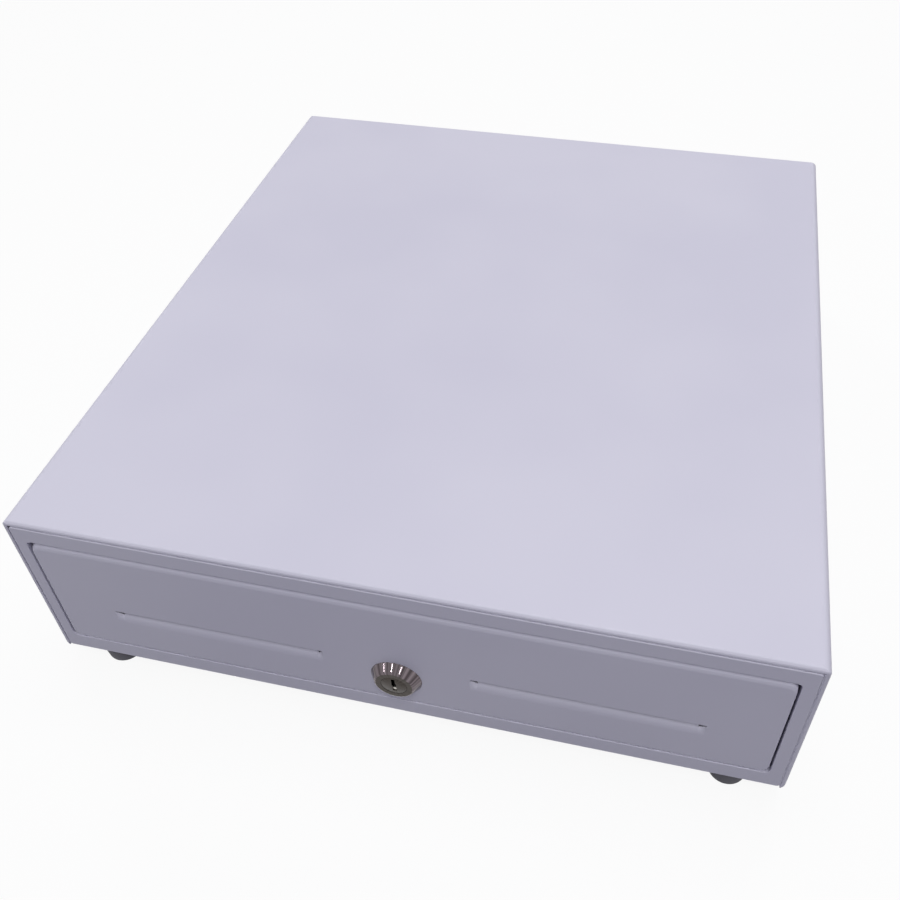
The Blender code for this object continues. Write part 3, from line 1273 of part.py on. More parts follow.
def main():
    for thing in list(bpy.data.objects):
        bpy.data.objects.remove(thing)
    white = paint("white_powder_coat", (0.62, 0.60, 0.69), 0.42)
    chrome = paint("chrome_plate", (0.55, 0.54, 0.55), 0.12, 1.0)
    zinc = paint("zinc_plate", (0.52, 0.53, 0.55), 0.35, 1.0)
    steel = paint("nickel_plate", (0.60, 0.59, 0.57), 0.28, 1.0)
    spring_steel = paint("spring_steel", (0.45, 0.45, 0.46), 0.3, 1.0)
    copper = paint("wound_copper_wire", (0.45, 0.20, 0.10), 0.4, 0.6)
    nylon = paint("white_nylon", (0.72, 0.71, 0.68), 0.45)
    rubber = paint("grey_rubber", (0.09, 0.09, 0.095), 0.75)
    black = paint("black_abs", (0.02, 0.02, 0.022), 0.45)
    lead_black = paint("black_pvc", (0.015, 0.015, 0.016), 0.5)
    drawer = carrier_at("drawer", (0, FRONT, RAIL_Z))
    plug = carrier_at("lock_turn", (0, FRONT, LOCK_Z))
    make_cover(white)
    make_base(white)
    make_feet(rubber)
    make_rear_panel(white)
    make_front_frame(white)
    make_drawer_front(white, drawer)
    make_drawer_box(white, drawer)
    make_till(black, drawer)
    make_coin_cups(black, drawer)
    make_clips(steel, spring_steel, drawer)
    make_runners(zinc, nylon, steel, drawer)
    make_lock(chrome, steel, zinc, drawer, plug)
    make_catch(zinc, steel, copper, spring_steel, black, drawer)
    make_socket(black, lead_black)


main()
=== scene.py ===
# %% [markdown]
# # A counter-top cash drawer
#
# A cash drawer is a flat steel case with one drawer in it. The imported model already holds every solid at
# its real place and size, in metres. This lesson dresses it: it sets up a camera and a plain studio,
# gives each piece its own finish, softens the edges that sheet metal and mouldings never have sharp, and
# adds the small pieces that a solid model leaves out, such as screws, rivets, contacts and wound wire.

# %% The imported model
import json
import math

import bmesh
import bpy
from mathutils import Matrix, Vector


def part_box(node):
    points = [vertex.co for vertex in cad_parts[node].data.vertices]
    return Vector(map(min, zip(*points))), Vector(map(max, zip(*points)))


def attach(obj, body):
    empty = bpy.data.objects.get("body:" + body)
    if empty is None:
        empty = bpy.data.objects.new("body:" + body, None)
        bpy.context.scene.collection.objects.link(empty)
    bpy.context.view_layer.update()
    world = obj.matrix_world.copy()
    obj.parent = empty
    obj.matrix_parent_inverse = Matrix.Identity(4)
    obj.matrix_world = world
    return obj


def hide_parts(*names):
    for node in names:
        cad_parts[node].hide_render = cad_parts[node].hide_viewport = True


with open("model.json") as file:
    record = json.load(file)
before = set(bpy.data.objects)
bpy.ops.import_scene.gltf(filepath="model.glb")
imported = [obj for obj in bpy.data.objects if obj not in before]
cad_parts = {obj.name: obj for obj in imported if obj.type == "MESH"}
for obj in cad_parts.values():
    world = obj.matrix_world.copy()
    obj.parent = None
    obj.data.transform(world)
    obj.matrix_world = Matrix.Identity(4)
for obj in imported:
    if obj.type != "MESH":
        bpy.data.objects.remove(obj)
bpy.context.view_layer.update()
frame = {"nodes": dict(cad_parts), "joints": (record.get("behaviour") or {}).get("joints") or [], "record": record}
joint_at = {joint["name"]: Vector(joint["pos_m"]) for joint in frame["joints"] if joint.get("pos_m")}
MM = 0.001

# %% [markdown]
# ## The camera
#
# The photograph was taken from close by, in front of the drawer and a little to its right, looking down.
# Its lines run together strongly, so the camera's place matters as much as its direction. The values
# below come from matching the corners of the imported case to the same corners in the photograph. The lens
# is a little off the middle of the frame, which the two small shifts take care of.

# %% The camera
FRAME_SIZE = 900
SENSOR = 36.0
FOCAL_PIXELS = 976.19
PRINCIPAL_POINT = (482.83, 416.33)
CAMERA_PLACE = Vector((97.36, -411.19, 427.74)) * MM
CAMERA_AZIMUTH = math.radians(13.908)
CAMERA_ELEVATION = math.radians(43.545)
CAMERA_ROLL = math.radians(-1.394)
NEAR_CLIP = 10 * MM


def look_matrix(azimuth, elevation, roll):
    """The camera's axes as a turn: its right, its up and the way back from what it looks at."""
    level = math.cos(elevation)
    back = Vector((math.sin(azimuth) * level, -math.cos(azimuth) * level, math.sin(elevation)))
    right = Vector((0, 0, 1)).cross(back).normalized()
    turn = Matrix.Rotation(roll, 3, back)
    right = turn @ right
    return Matrix((right, back.cross(right), back)).transposed()


camera_data = bpy.data.cameras.new("camera")
camera_data.sensor_width = SENSOR
camera_data.lens = FOCAL_PIXELS * SENSOR / FRAME_SIZE
camera_data.shift_x = (FRAME_SIZE / 2 - PRINCIPAL_POINT[0]) / FRAME_SIZE
camera_data.shift_y = (PRINCIPAL_POINT[1] - FRAME_SIZE / 2) / FRAME_SIZE
camera_data.clip_start = NEAR_CLIP
camera = bpy.data.objects.new("camera", camera_data)
bpy.context.scene.collection.objects.link(camera)
camera_turn = look_matrix(CAMERA_AZIMUTH, CAMERA_ELEVATION, CAMERA_ROLL)
camera.matrix_world = Matrix.LocRotScale(CAMERA_PLACE, camera_turn.to_quaternion(), None)
bpy.context.scene.camera = camera
print("lens:", round(camera_data.lens, 2), "mm")

# %% [markdown]
# ## Colours and nodes
#
# A colour picked from a picture is an sRGB code, but Blender's shaders work with linear light, so one
# function turns the code into linear numbers. Another small function adds a shader node, sets it and
# links it, so that a finish reads as a short list of what it is made of.

# %% Helpers for finishes
NOISE_LOW = 0.35
NOISE_HIGH = 0.65


def colour(code):
    """Linear RGBA numbers of an sRGB hex code."""
    shares = [int(code[k:k + 2], 16) / 255 for k in (1, 3, 5)]
    linear = [c / 12.92 if c <= 0.04045 else ((c + 0.055) / 1.055) ** 2.4 for c in shares]
    return (*linear, 1.0)


def add(tree, kind, values=None, links=None, **settings):
    """Adds a node to a tree, with its settings, the values of its sockets and what feeds them."""
    node = tree.nodes.new(kind)
    for name, value in settings.items():
        setattr(node, name, value)
    for name, value in (values or {}).items():
        node.inputs[name].default_value = value
    for name, source in (links or {}).items():
        tree.links.new(source, node.inputs[name])
    return node


def start_finish(name, roughness, metallic=0.0, ior=1.5):
    """A new material: its tree, its shader and the socket that gives a point's place on the piece."""
    finish = bpy.data.materials.new(name)
    finish.use_nodes = True
    tree = finish.node_tree
    shader = tree.nodes["Principled BSDF"]
    shader.inputs["Roughness"].default_value = roughness
    shader.inputs["Metallic"].default_value = metallic
    if metallic < 0.5:
        shader.inputs["IOR"].default_value = ior
    place = add(tree, "ShaderNodeTexCoord").outputs["Object"]
    return finish, tree, shader, place


def per_metre(size_in_mm):
    """The scale of a pattern whose features are that many millimetres across."""
    return 1.0 / (size_in_mm * MM)


def two_tone(tree, shader, factor, first, second):
    """Colours a surface between two codes by a pattern of noise, most of which lies between two limits."""
    limits = {"From Min": NOISE_LOW, "From Max": NOISE_HIGH}
    ramp = add(tree, "ShaderNodeMapRange", limits, {"Value": factor})
    # A mix node has sockets for several kinds of data. Its colours are inputs 6 and 7 and output 2.
    tones = {6: colour(first), 7: colour(second)}
    mix = add(tree, "ShaderNodeMix", tones, {0: ramp.outputs["Result"]}, data_type="RGBA")
    tree.links.new(mix.outputs[2], shader.inputs["Base Color"])


def uneven_gloss(tree, shader, factor, low, high):
    """Spreads a surface's roughness between two values by a pattern."""
    spread = add(tree, "ShaderNodeMapRange", {"To Min": low, "To Max": high}, {"Value": factor})
    tree.links.new(spread.outputs["Result"], shader.inputs["Roughness"])


def relief(tree, shader, height, depth_in_mm, strength):
    """Raises a pattern on a surface by a depth in millimetres."""
    size = {"Strength": strength, "Distance": depth_in_mm * MM}
    bump = add(tree, "ShaderNodeBump", size, {"Height": height})
    tree.links.new(bump.outputs["Normal"], shader.inputs["Normal"])


finishes = {}

# %% [markdown]
# ## White powder coat
#
# The case, the frame and the drawer are steel sheet with a baked polyester powder coat. The powder melts
# and flows in the oven, which leaves a satin skin with a faint ripple, known as orange peel. The coat
# looks white with a cool, lilac cast here. Handling leaves wide, very faint grey smudges.

# %% White powder coat
COAT_ROUGHNESS = 0.42
COAT_SPECULAR = 0.3
SMUDGE_SIZE = 110
PEEL_SIZE = 2.4
PEEL_DEPTH = 0.02
PEEL_STRENGTH = 0.25


def powder_coat():
    finish, tree, shader, place = start_finish("white_powder_coat", COAT_ROUGHNESS)
    shader.inputs["Specular IOR Level"].default_value = COAT_SPECULAR
    wide = {"Scale": per_metre(SMUDGE_SIZE), "Detail": 2.0}
    smudge = add(tree, "ShaderNodeTexNoise", wide, {"Vector": place})
    two_tone(tree, shader, smudge.outputs["Fac"], "#ceccdc", "#d2d0df")
    uneven_gloss(tree, shader, smudge.outputs["Fac"], COAT_ROUGHNESS + 0.05, COAT_ROUGHNESS - 0.05)
    # Real orange peel is about a millimetre across. It is drawn coarser so that it shows.
    fine = {"Scale": per_metre(PEEL_SIZE), "Detail": 1.0}
    peel = add(tree, "ShaderNodeTexNoise", fine, {"Vector": place})
    relief(tree, shader, peel.outputs["Fac"], PEEL_DEPTH, PEEL_STRENGTH)
    return finish


finishes["white_powder_coat"] = powder_coat()
print("coat:", finishes["white_powder_coat"].name)

# %% [markdown]
# ## Metals
#
# Small steel pieces are plated against rust. Zinc plate is a cool, slightly cloudy grey. Nickel plate is
# warmer and smoother. The springs are drawn wire, darker than both. The lock is turned and chromed, so
# its flank mirrors the room and the small lamps, and its flat face has fine rings from the turning tool.
# Its colours are painted reflection: the chrome is coloured far darker than chrome, in a lilac brown, with
# painted upright streaks of light and dark running round the flank, and the face and plug are painted
# darker still for the dark reflection that the face shows.

# %% Metals
GRIT_SIZE = 0.9
GRIT_DEPTH = 0.01
GRIT_STRENGTH = 0.15
GROOVE_DEPTH = 0.02
GROOVE_STRENGTH = 0.08
# Scale of the light and dark streaks painted round a turned piece as painted reflections.
PAINTED_STREAKS_ROUND = 40
WAVE_LENGTH = math.tau / 20


def plated(name, dark, light, roughness, cloud_in_mm):
    """Plated steel with a cloudy change of tone."""
    finish, tree, shader, place = start_finish(name, roughness, 1.0)
    wide = {"Scale": per_metre(cloud_in_mm), "Detail": 4.0}
    cloud = add(tree, "ShaderNodeTexNoise", wide, {"Vector": place})
    two_tone(tree, shader, cloud.outputs["Fac"], dark, light)
    uneven_gloss(tree, shader, cloud.outputs["Fac"], roughness + 0.08, roughness - 0.06)
    fine = {"Scale": per_metre(GRIT_SIZE), "Detail": 2.0}
    grit = add(tree, "ShaderNodeTexNoise", fine, {"Vector": place})
    relief(tree, shader, grit.outputs["Fac"], GRIT_DEPTH, GRIT_STRENGTH)
    return finish


def turned_metal(name, dark, light, roughness, centre, groove_in_mm):
    """Metal turned on a lathe about an axis along Y, with fine rings and painted reflection streaks running
    outwards.
    """
    finish, tree, shader, place = start_finish(name, roughness, 1.0)
    centred = add(tree, "ShaderNodeMapping", {"Location": [-v for v in centre]}, {"Vector": place})
    # A wave texture of scale 1 repeats after WAVE_LENGTH, so the scale is worked out from that.
    spacing = {"Scale": per_metre(groove_in_mm) * WAVE_LENGTH, "Distortion": 0.0}
    rings = add(
        tree, "ShaderNodeTexWave", spacing, {"Vector": centred.outputs["Vector"]}, wave_type="RINGS",
        rings_direction="Y",
    )
    upright = add(
        tree, "ShaderNodeMapping", {"Rotation": (math.pi / 2, 0, 0)}, {"Vector": centred.outputs["Vector"]},
    )
    angle = add(
        tree, "ShaderNodeTexGradient", links={"Vector": upright.outputs["Vector"]}, gradient_type="RADIAL",
    )
    # Painted reflection: the tone changes with the angle round the axis, as upright streaks of light and dark.
    painted_streaks = add(
        tree, "ShaderNodeTexNoise", {"Scale": PAINTED_STREAKS_ROUND, "Detail": 2.0}, {"W": angle.outputs["Fac"]},
        noise_dimensions="1D",
    )
    two_tone(tree, shader, painted_streaks.outputs["Fac"], dark, light)
    uneven_gloss(tree, shader, painted_streaks.outputs["Fac"], roughness + 0.02, roughness - 0.02)
    relief(tree, shader, rings.outputs["Fac"], GROOVE_DEPTH, GROOVE_STRENGTH)
    return finish


lock_axis = joint_at["lock_turn"]
finishes["zinc_plate"] = plated("zinc_plate", "#a9adb3", "#c3c6cb", 0.34, 9)
finishes["nickel_plate"] = plated("nickel_plate", "#b4b0a9", "#cbc8c2", 0.27, 14)
finishes["spring_steel"] = plated("spring_steel", "#84858a", "#a2a3a8", 0.30, 5)
# Painted reflection: the chrome is coloured much darker, in a lilac brown, for the room that it mirrors.
finishes["chrome_plate"] = turned_metal("chrome_plate", "#4c4548", "#7b7176", 0.07, lock_axis, 0.8)
# Painted reflection: the lock's face and plug are coloured nearly black for the dark reflection that the face
# shows.
painted_dark_chrome = turned_metal("turned_chrome_painted_dark", "#3a3531", "#47413d", 0.24, lock_axis, 0.9)
print("metals:", sorted(set(finishes) - {"white_powder_coat"}) + [painted_dark_chrome.name])

# %% [markdown]
# ## Plastics, rubber and copper
#
# The till is black ABS from a spark-eroded mould, which gives it a fine, dull grain. The rollers are
# nylon, which is milky and waxy. The feet are grey rubber with a chalky bloom, and the coil's lead has a
# jacket of black PVC. The coil is enamelled copper wire, so it keeps the copper's colour under a glossy
# skin.

# %% Plastics, rubber and copper
TONE_SIZE = 40
GRAIN_STRENGTH = 0.5
WIRE_TONE_SIZE = 3


def moulded(name, dark, light, roughness, grain_in_mm, depth_in_mm, ior):
    """A moulded plastic or rubber with a fine grain."""
    finish, tree, shader, place = start_finish(name, roughness, 0.0, ior)
    wide = {"Scale": per_metre(TONE_SIZE), "Detail": 3.0}
    tone = add(tree, "ShaderNodeTexNoise", wide, {"Vector": place})
    two_tone(tree, shader, tone.outputs["Fac"], dark, light)
    uneven_gloss(tree, shader, tone.outputs["Fac"], roughness + 0.06, roughness - 0.05)
    fine = {"Scale": per_metre(grain_in_mm), "Detail": 2.0}
    grain = add(tree, "ShaderNodeTexNoise", fine, {"Vector": place})
    relief(tree, shader, grain.outputs["Fac"], depth_in_mm, GRAIN_STRENGTH)
    return finish


def enamelled_copper():
    finish, tree, shader, place = start_finish("enamelled_copper", 0.25, 0.9)
    fine = {"Scale": per_metre(WIRE_TONE_SIZE), "Detail": 3.0}
    tone = add(tree, "ShaderNodeTexNoise", fine, {"Vector": place})
    two_tone(tree, shader, tone.outputs["Fac"], "#9a4a22", "#c2703a")
    shader.inputs["Coat Weight"].default_value = 0.6
    shader.inputs["Coat Roughness"].default_value = 0.1
    return finish


finishes["grey_rubber"] = moulded("grey_rubber", "#636268", "#706f75", 0.72, 1.2, 0.04, 1.52)
finishes["white_nylon"] = moulded("white_nylon", "#d3d0c8", "#dedbd4", 0.42, 1.5, 0.02, 1.53)
finishes["black_abs"] = moulded("black_abs", "#1c1c1e", "#242426", 0.46, 0.9, 0.04, 1.54)
finishes["black_pvc"] = moulded("black_pvc", "#161617", "#1f1f21", 0.40, 1.5, 0.02, 1.53)
finishes["wound_copper_wire"] = enamelled_copper()
print("finishes:", sorted(finishes))

# %% [markdown]
# ## From a solid to a finished piece
#
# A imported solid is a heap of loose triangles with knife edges. Real sheet metal has a coat that rounds
# over the cut edge, and a moulding has a small radius everywhere. So each solid is copied, its triangles
# are merged back into whole faces, and its sharp edges get a small bevel that catches the light. A
# weighted normal keeps the wide faces flat to the eye.

# %% Helpers for pieces
MERGE_WITHIN = 0.002 * MM
FLAT_WITHIN = math.radians(0.5)
SHARP_FROM = math.radians(38)


def make_piece(name, shape, finish, body, replaced=(), crease=40):
    """Makes an object of a bmesh. It rides on a body and may stand for CAD nodes."""
    mesh = bpy.data.meshes.new(name)
    shape.to_mesh(mesh)
    shape.free()
    mesh.shade_smooth()
    mesh.set_sharp_from_angle(angle=math.radians(crease))
    mesh.materials.append(finish)
    piece = bpy.data.objects.new(name, mesh)
    bpy.context.scene.collection.objects.link(piece)
    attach(piece, body)
    if replaced:
        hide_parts(*replaced)
    return piece


def whole_faces(node):
    """A copy of a CAD node's mesh with its loose triangles merged into whole faces."""
    shape = bmesh.new()
    shape.from_mesh(frame["nodes"][node].data)
    bmesh.ops.remove_doubles(shape, verts=shape.verts, dist=MERGE_WITHIN)
    bmesh.ops.dissolve_limit(shape, angle_limit=FLAT_WITHIN, verts=shape.verts[:], edges=shape.edges[:])
    return shape


def soften(shape, width_in_mm):
    """Bevels the sharp edges of a shape."""
    sharp = [edge for edge in shape.edges if edge.is_manifold and edge.calc_face_angle(0.0) > SHARP_FROM]
    bmesh.ops.bevel(
        shape, geom=sharp, offset=width_in_mm * MM, offset_type="OFFSET", segments=2, profile=0.5,
        affect="EDGES", clamp_overlap=True, material=-1,
    )


body_of = {node: body for body, nodes in frame["record"]["behaviour"]["bodies"].items() for node in nodes}
slot_of = {entry["node"]: entry["material_slot"] for entry in frame["record"]["subparts"]}


def finish_node(node, width_in_mm, reshape=None):
    """The finished piece that stands for a CAD node."""
    shape = whole_faces(node)
    if reshape:
        reshape(shape)
    if width_in_mm:
        soften(shape, width_in_mm)
    slot = slot_of[node]
    piece = make_piece("finished_" + node, shape, finishes[slot], body_of[node], [node])
    piece.modifiers.new("flat faces", "WEIGHTED_NORMAL")


print("slots:", sorted(set(slot_of.values())))

# %% [markdown]
# ## The sheets that show most
#
# Each paper slot is lanced: the drawer's front is cut along one line, and the strip below the cut is
# pressed in as a lip that light from above falls on. Here a few points move, so that the lip goes deeper
# and its ends come flush with the sheet. The shadow gap above the drawer's front is narrow, so the
# frame's upper edge comes down a little. The cover's two long bends are rounded: cuts along the sheet
# give it points, which then move on to an arc.

# %% The sheets that show most
# The slots' and the gap's places and moves are in millimetres, and the bend's sizes in metres.
SLOT_MIDDLE = 85.0
SLOT_HALF = 51.0
SLOT_ROOT = 44.0
SLOT_TOP = 51.9
ROOT_MARGIN = 0.1
TOP_MARGIN = 0.05
END_MARGIN = 0.3
SHEET_DEPTH = 0.03
LIP_SHARE = 1.15
LIP_SHOULDER = 45.8
SHOULDER_SHIFT = 2.2
END_DEPTH = 0.7
END_FLUSH = 0.02
GAP_EDGE = 95.3
GAP_CLOSED = 0.6
NEAR = 0.4
BEND_RADIUS = 3.6 * MM
BEND_CUTS = 7
CUT_WITHIN = 0.001 * MM


def press_lips(shape):
    """Presses the slots' lips in deeper, and brings their ends flush with the sheet."""
    for point in shape.verts:
        depth = point.co.y - lock_axis.y
        in_slot = SLOT_ROOT + ROOT_MARGIN < point.co.z / MM < SLOT_TOP - TOP_MARGIN
        if not in_slot or depth < SHEET_DEPTH * MM:
            continue
        from_middle = abs(point.co.x) / MM - SLOT_MIDDLE
        if abs(from_middle) < SLOT_HALF - END_MARGIN:
            point.co.y = lock_axis.y + depth * LIP_SHARE
            if abs(abs(from_middle) - LIP_SHOULDER) < NEAR:
                outwards = math.copysign(1, from_middle) * math.copysign(1, point.co.x)
                point.co.x += outwards * SHOULDER_SHIFT * MM
        elif abs(from_middle) < SLOT_HALF + END_MARGIN and depth < END_DEPTH * MM:
            point.co.y = lock_axis.y + END_FLUSH * MM


def close_gap(shape):
    """Brings the upper edge of the frame's opening closer to the drawer's front."""
    for point in shape.verts:
        if abs(point.co.z / MM - GAP_EDGE) < NEAR:
            point.co.z -= GAP_CLOSED * MM


def round_bends(shape):
    """Rounds the two long bends of the cover, after cuts that give the sheet points to move."""
    low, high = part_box("case_cover")
    for k in range(BEND_CUTS):
        inset = BEND_RADIUS * (1 - math.sin(math.pi / 2 * k / BEND_CUTS))
        cuts = [
            ((high.x - inset, 0, 0), (1, 0, 0)),
            ((low.x + inset, 0, 0), (1, 0, 0)),
            ((0, 0, high.z - inset), (0, 0, 1)),
        ]
        for place, way in cuts:
            geometry = shape.verts[:] + shape.edges[:] + shape.faces[:]
            bmesh.ops.bisect_plane(shape, geom=geometry, plane_co=place, plane_no=way, dist=CUT_WITHIN)
    for point in shape.verts:
        across = Vector((abs(point.co.x) - (high.x - BEND_RADIUS), point.co.z - (high.z - BEND_RADIUS)))
        if min(across) > 0 and across.length > BEND_RADIUS:
            across *= BEND_RADIUS / across.length
            point.co.x = math.copysign(high.x - BEND_RADIUS + across.x, point.co.x)
            point.co.z = high.z - BEND_RADIUS + across.y


RESHAPE = {"drawer_front": press_lips, "front_frame": close_gap, "case_cover": round_bends}
print("sheets to reshape:", sorted(RESHAPE))

# %% [markdown]
# ## Every solid, finished
#
# Most pieces need nothing but this step. The width of the bevel follows the piece: a coated sheet edge
# is softer than a stamped steel one. The three sheets that show at the front already carry their bends
# as modelled curves, so they get no bevel. Springs, the coil, the lock and the round rubber and nylon
# pieces come later, because round things want more sides than a solid model can carry.

# %% Every solid, finished
EDGE_OF_SLOT = {
    "white_powder_coat": 0.25,
    "zinc_plate": 0.2,
    "nickel_plate": 0.2,
    "spring_steel": 0.1,
    "black_abs": 0.3,
}
BENT_SHEETS = ["case_cover", "front_frame", "drawer_front"]
FEET = [f"foot_{end}_{side}" for end in ("front", "rear") for side in ("left", "right")]
ROLLERS = [f"{end}_roller_{side}" for end in ("front", "rear") for side in ("left", "right")]
CLIP_SPRINGS = [f"clip_spring_{k}" for k in (1, 2, 3, 4)]
WOUND = ["eject_spring", "latch_spring", "solenoid_coil", "coil_lead"] + CLIP_SPRINGS
made_later = FEET + ROLLERS + WOUND + ["lock_barrel", "lock_plug"]
for node in sorted(frame["nodes"]):
    if node in made_later:
        continue
    edge = 0.0 if node in BENT_SHEETS else EDGE_OF_SLOT[slot_of[node]]
    finish_node(node, edge, RESHAPE.get(node))
print("finished solids:", len(frame["nodes"]) - len(made_later))

# %% [markdown]
# ## Shapes for small pieces
#
# Four kinds of shape make the small pieces. A turned shape is a profile spun about an axis, which gives
# the lock's bezel, screw heads and the bobbin. A block is a box, with its edges softened where they show.
# Wire is a line of points with a round section. A carved shape is one with another taken out of it.

# %% Shapes for small pieces
WELD_WITHIN = 0.001 * MM
WIRE_ROUNDNESS = 3


def turned(profile, centre, axis, sides):
    """A shape spun about an axis, from (radius, distance along the axis) in millimetres."""
    along = Vector(axis)
    out = along.orthogonal().normalized()
    shape = bmesh.new()
    points = [shape.verts.new(Vector(centre) + (out * r + along * d) * MM) for r, d in profile]
    pairs = list(zip(points, points[1:]))
    if profile[0][0] > 0 or profile[-1][0] > 0:
        pairs.append((points[-1], points[0]))
    lines = [shape.edges.new(pair) for pair in pairs]
    bmesh.ops.spin(
        shape, geom=points + lines, cent=centre, axis=along, angle=math.tau, steps=sides, use_merge=True,
    )
    bmesh.ops.remove_doubles(shape, verts=shape.verts, dist=WELD_WITHIN)
    bmesh.ops.recalc_face_normals(shape, faces=shape.faces)
    return shape


def block(low, high, edge_in_mm=0.0):
    """A box between two corners, with its edges softened by a width if one is given."""
    low, high = Vector(low), Vector(high)
    shape = bmesh.new()
    bmesh.ops.create_cube(shape, size=1.0)
    bmesh.ops.scale(shape, vec=high - low, verts=shape.verts)
    bmesh.ops.translate(shape, vec=(low + high) / 2, verts=shape.verts)
    if edge_in_mm:
        soften(shape, edge_in_mm)
    return shape


def wire(points, thick_in_mm):
    """Round wire along a line of points, with closed ends."""
    curve = bpy.data.curves.new("wire", "CURVE")
    curve.dimensions = "3D"
    line = curve.splines.new("POLY")
    line.points.add(len(points) - 1)
    for knot, point in zip(line.points, points):
        knot.co = (*point, 1.0)
    curve.bevel_depth = thick_in_mm / 2 * MM
    curve.bevel_resolution = WIRE_ROUNDNESS
    curve.use_fill_caps = True
    holder = bpy.data.objects.new("wire", curve)
    mesh = bpy.data.meshes.new_from_object(holder)
    shape = bmesh.new()
    shape.from_mesh(mesh)
    bpy.data.objects.remove(holder)
    bpy.data.curves.remove(curve)
    bpy.data.meshes.remove(mesh)
    return shape


def carve(shape, tool):
    """A shape with another taken out of it."""
    pair = []
    for part in (shape, tool):
        mesh = bpy.data.meshes.new("blank")
        part.to_mesh(mesh)
        part.free()
        blank = bpy.data.objects.new("blank", mesh)
        bpy.context.scene.collection.objects.link(blank)
        pair.append(blank)
    change = pair[0].modifiers.new("carve", "BOOLEAN")
    change.operation = "DIFFERENCE"
    change.solver = "EXACT"
    change.object = pair[1]
    result = bmesh.new()
    result.from_object(pair[0], bpy.context.evaluated_depsgraph_get())
    for blank in pair:
        mesh = blank.data
        bpy.data.objects.remove(blank)
        bpy.data.meshes.remove(mesh)
    return result


def merge(shapes):
    """Several shapes as one mesh."""
    whole = bmesh.new()
    for shape in shapes:
        mesh = bpy.data.meshes.new("part")
        shape.to_mesh(mesh)
        shape.free()
        whole.from_mesh(mesh)
        bpy.data.meshes.remove(mesh)
    return whole


# %% [markdown]
# ## The lock
#
# The lock is a chromed barrel that a nut holds in the drawer's front. Its bezel is a flat cone, so each
# part of it faces another way and mirrors another part of the room. Its face is a ring let into the bezel,
# and the face and the plug are painted dark, as a painted dark reflection. The plug turns inside the ring,
# and its keyway has a step, so that only the right blank goes in.
# The small light square at the keyway's lower end is the first of the wafers that the key lifts. The
# profiles are pairs of a radius and a distance behind the drawer's front, in millimetres.

# %% The lock
LOCK_SIDES = 128
PLUG_SIDES = 96
LOCK_CREASE = 30
BEZEL_RADIUS = 11.9
RING_RADIUS = 8.5
PLUG_RADIUS = 6.0
BARREL_RADIUS = 8.5
BARREL_LENGTH = 24.0
STEM_RADIUS = 3.0
STEM_END = 30.0
THREAD_START = 5.5
THREAD_PITCH = 1.0
THREAD_DEPTH = 0.35
PROUD = (lock_axis.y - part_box("lock_barrel")[0].y) / MM
KEYWAY_WIDTH = 1.7
KEYWAY_HEIGHT = 8.6
KEYWAY_STEP = 0.4
KEYWAY_LIFT = 0.5
KEYWAY_REACH = (-1.0, 9.0)
WAFER_LOW = (-0.6, 0.3, 0.05)
WAFER_HIGH = (1.0, 3.0, 1.9)
WAFER_EDGE = 0.1
RING_SINK = 0.3
RING_FIT = 0.02
BORE_GAP = 0.3
PLUG_TAIL = 0.3
PLUG_GAP = 0.08
CONE_START = (BEZEL_RADIUS - 0.05, -0.25)
CONE_END = (9.5, 0.62 - PROUD)
ALONG_Y = (0, 1, 0)


def thread(radius, start, stop):
    """Profile of a thread, drawn as rings."""
    points = []
    for k in range(int((stop - start) / THREAD_PITCH)):
        points.append((radius, start + k * THREAD_PITCH))
        points.append((radius - THREAD_DEPTH, start + (k + 0.5) * THREAD_PITCH))
    return points


def make_bezel():
    sink = RING_SINK - PROUD
    bore = PLUG_RADIUS + BORE_GAP
    profile = [(BEZEL_RADIUS - 0.1, -0.03), (BEZEL_RADIUS, CONE_START[1] / 2)]
    # Rings close to the cone's ends keep its shading straight between them.
    profile += [Vector(CONE_START).lerp(Vector(CONE_END), share) for share in (0, 0.08, 0.92, 1)]
    profile += [(9.15, 0.24 - PROUD), (8.85, 0.06 - PROUD), (RING_RADIUS, -PROUD), (RING_RADIUS, sink)]
    profile += [(bore, sink), (bore, BARREL_LENGTH), (BARREL_RADIUS - 0.4, BARREL_LENGTH)]
    profile += thread(BARREL_RADIUS, THREAD_START, BARREL_LENGTH - 0.5)[::-1]
    profile += [(BARREL_RADIUS, THREAD_START - 0.5), (BARREL_RADIUS, -0.03)]
    bezel = turned(profile, lock_axis, ALONG_Y, LOCK_SIDES)
    chrome = finishes["chrome_plate"]
    make_piece("lock_bezel", bezel, chrome, "drawer", ["lock_barrel"], LOCK_CREASE)


def make_face_ring():
    outside = RING_RADIUS - RING_FIT
    inside = PLUG_RADIUS + PLUG_GAP
    back = RING_SINK - PROUD - RING_FIT
    profile = [(outside, back), (outside, 0.04 - PROUD), (RING_RADIUS - 0.08, -PROUD)]
    profile += [(PLUG_RADIUS + 0.14, -PROUD), (inside, 0.06 - PROUD), (inside, back)]
    ring = turned(profile, lock_axis, ALONG_Y, LOCK_SIDES)
    make_piece("lock_face_ring", ring, painted_dark_chrome, "drawer", crease=LOCK_CREASE)


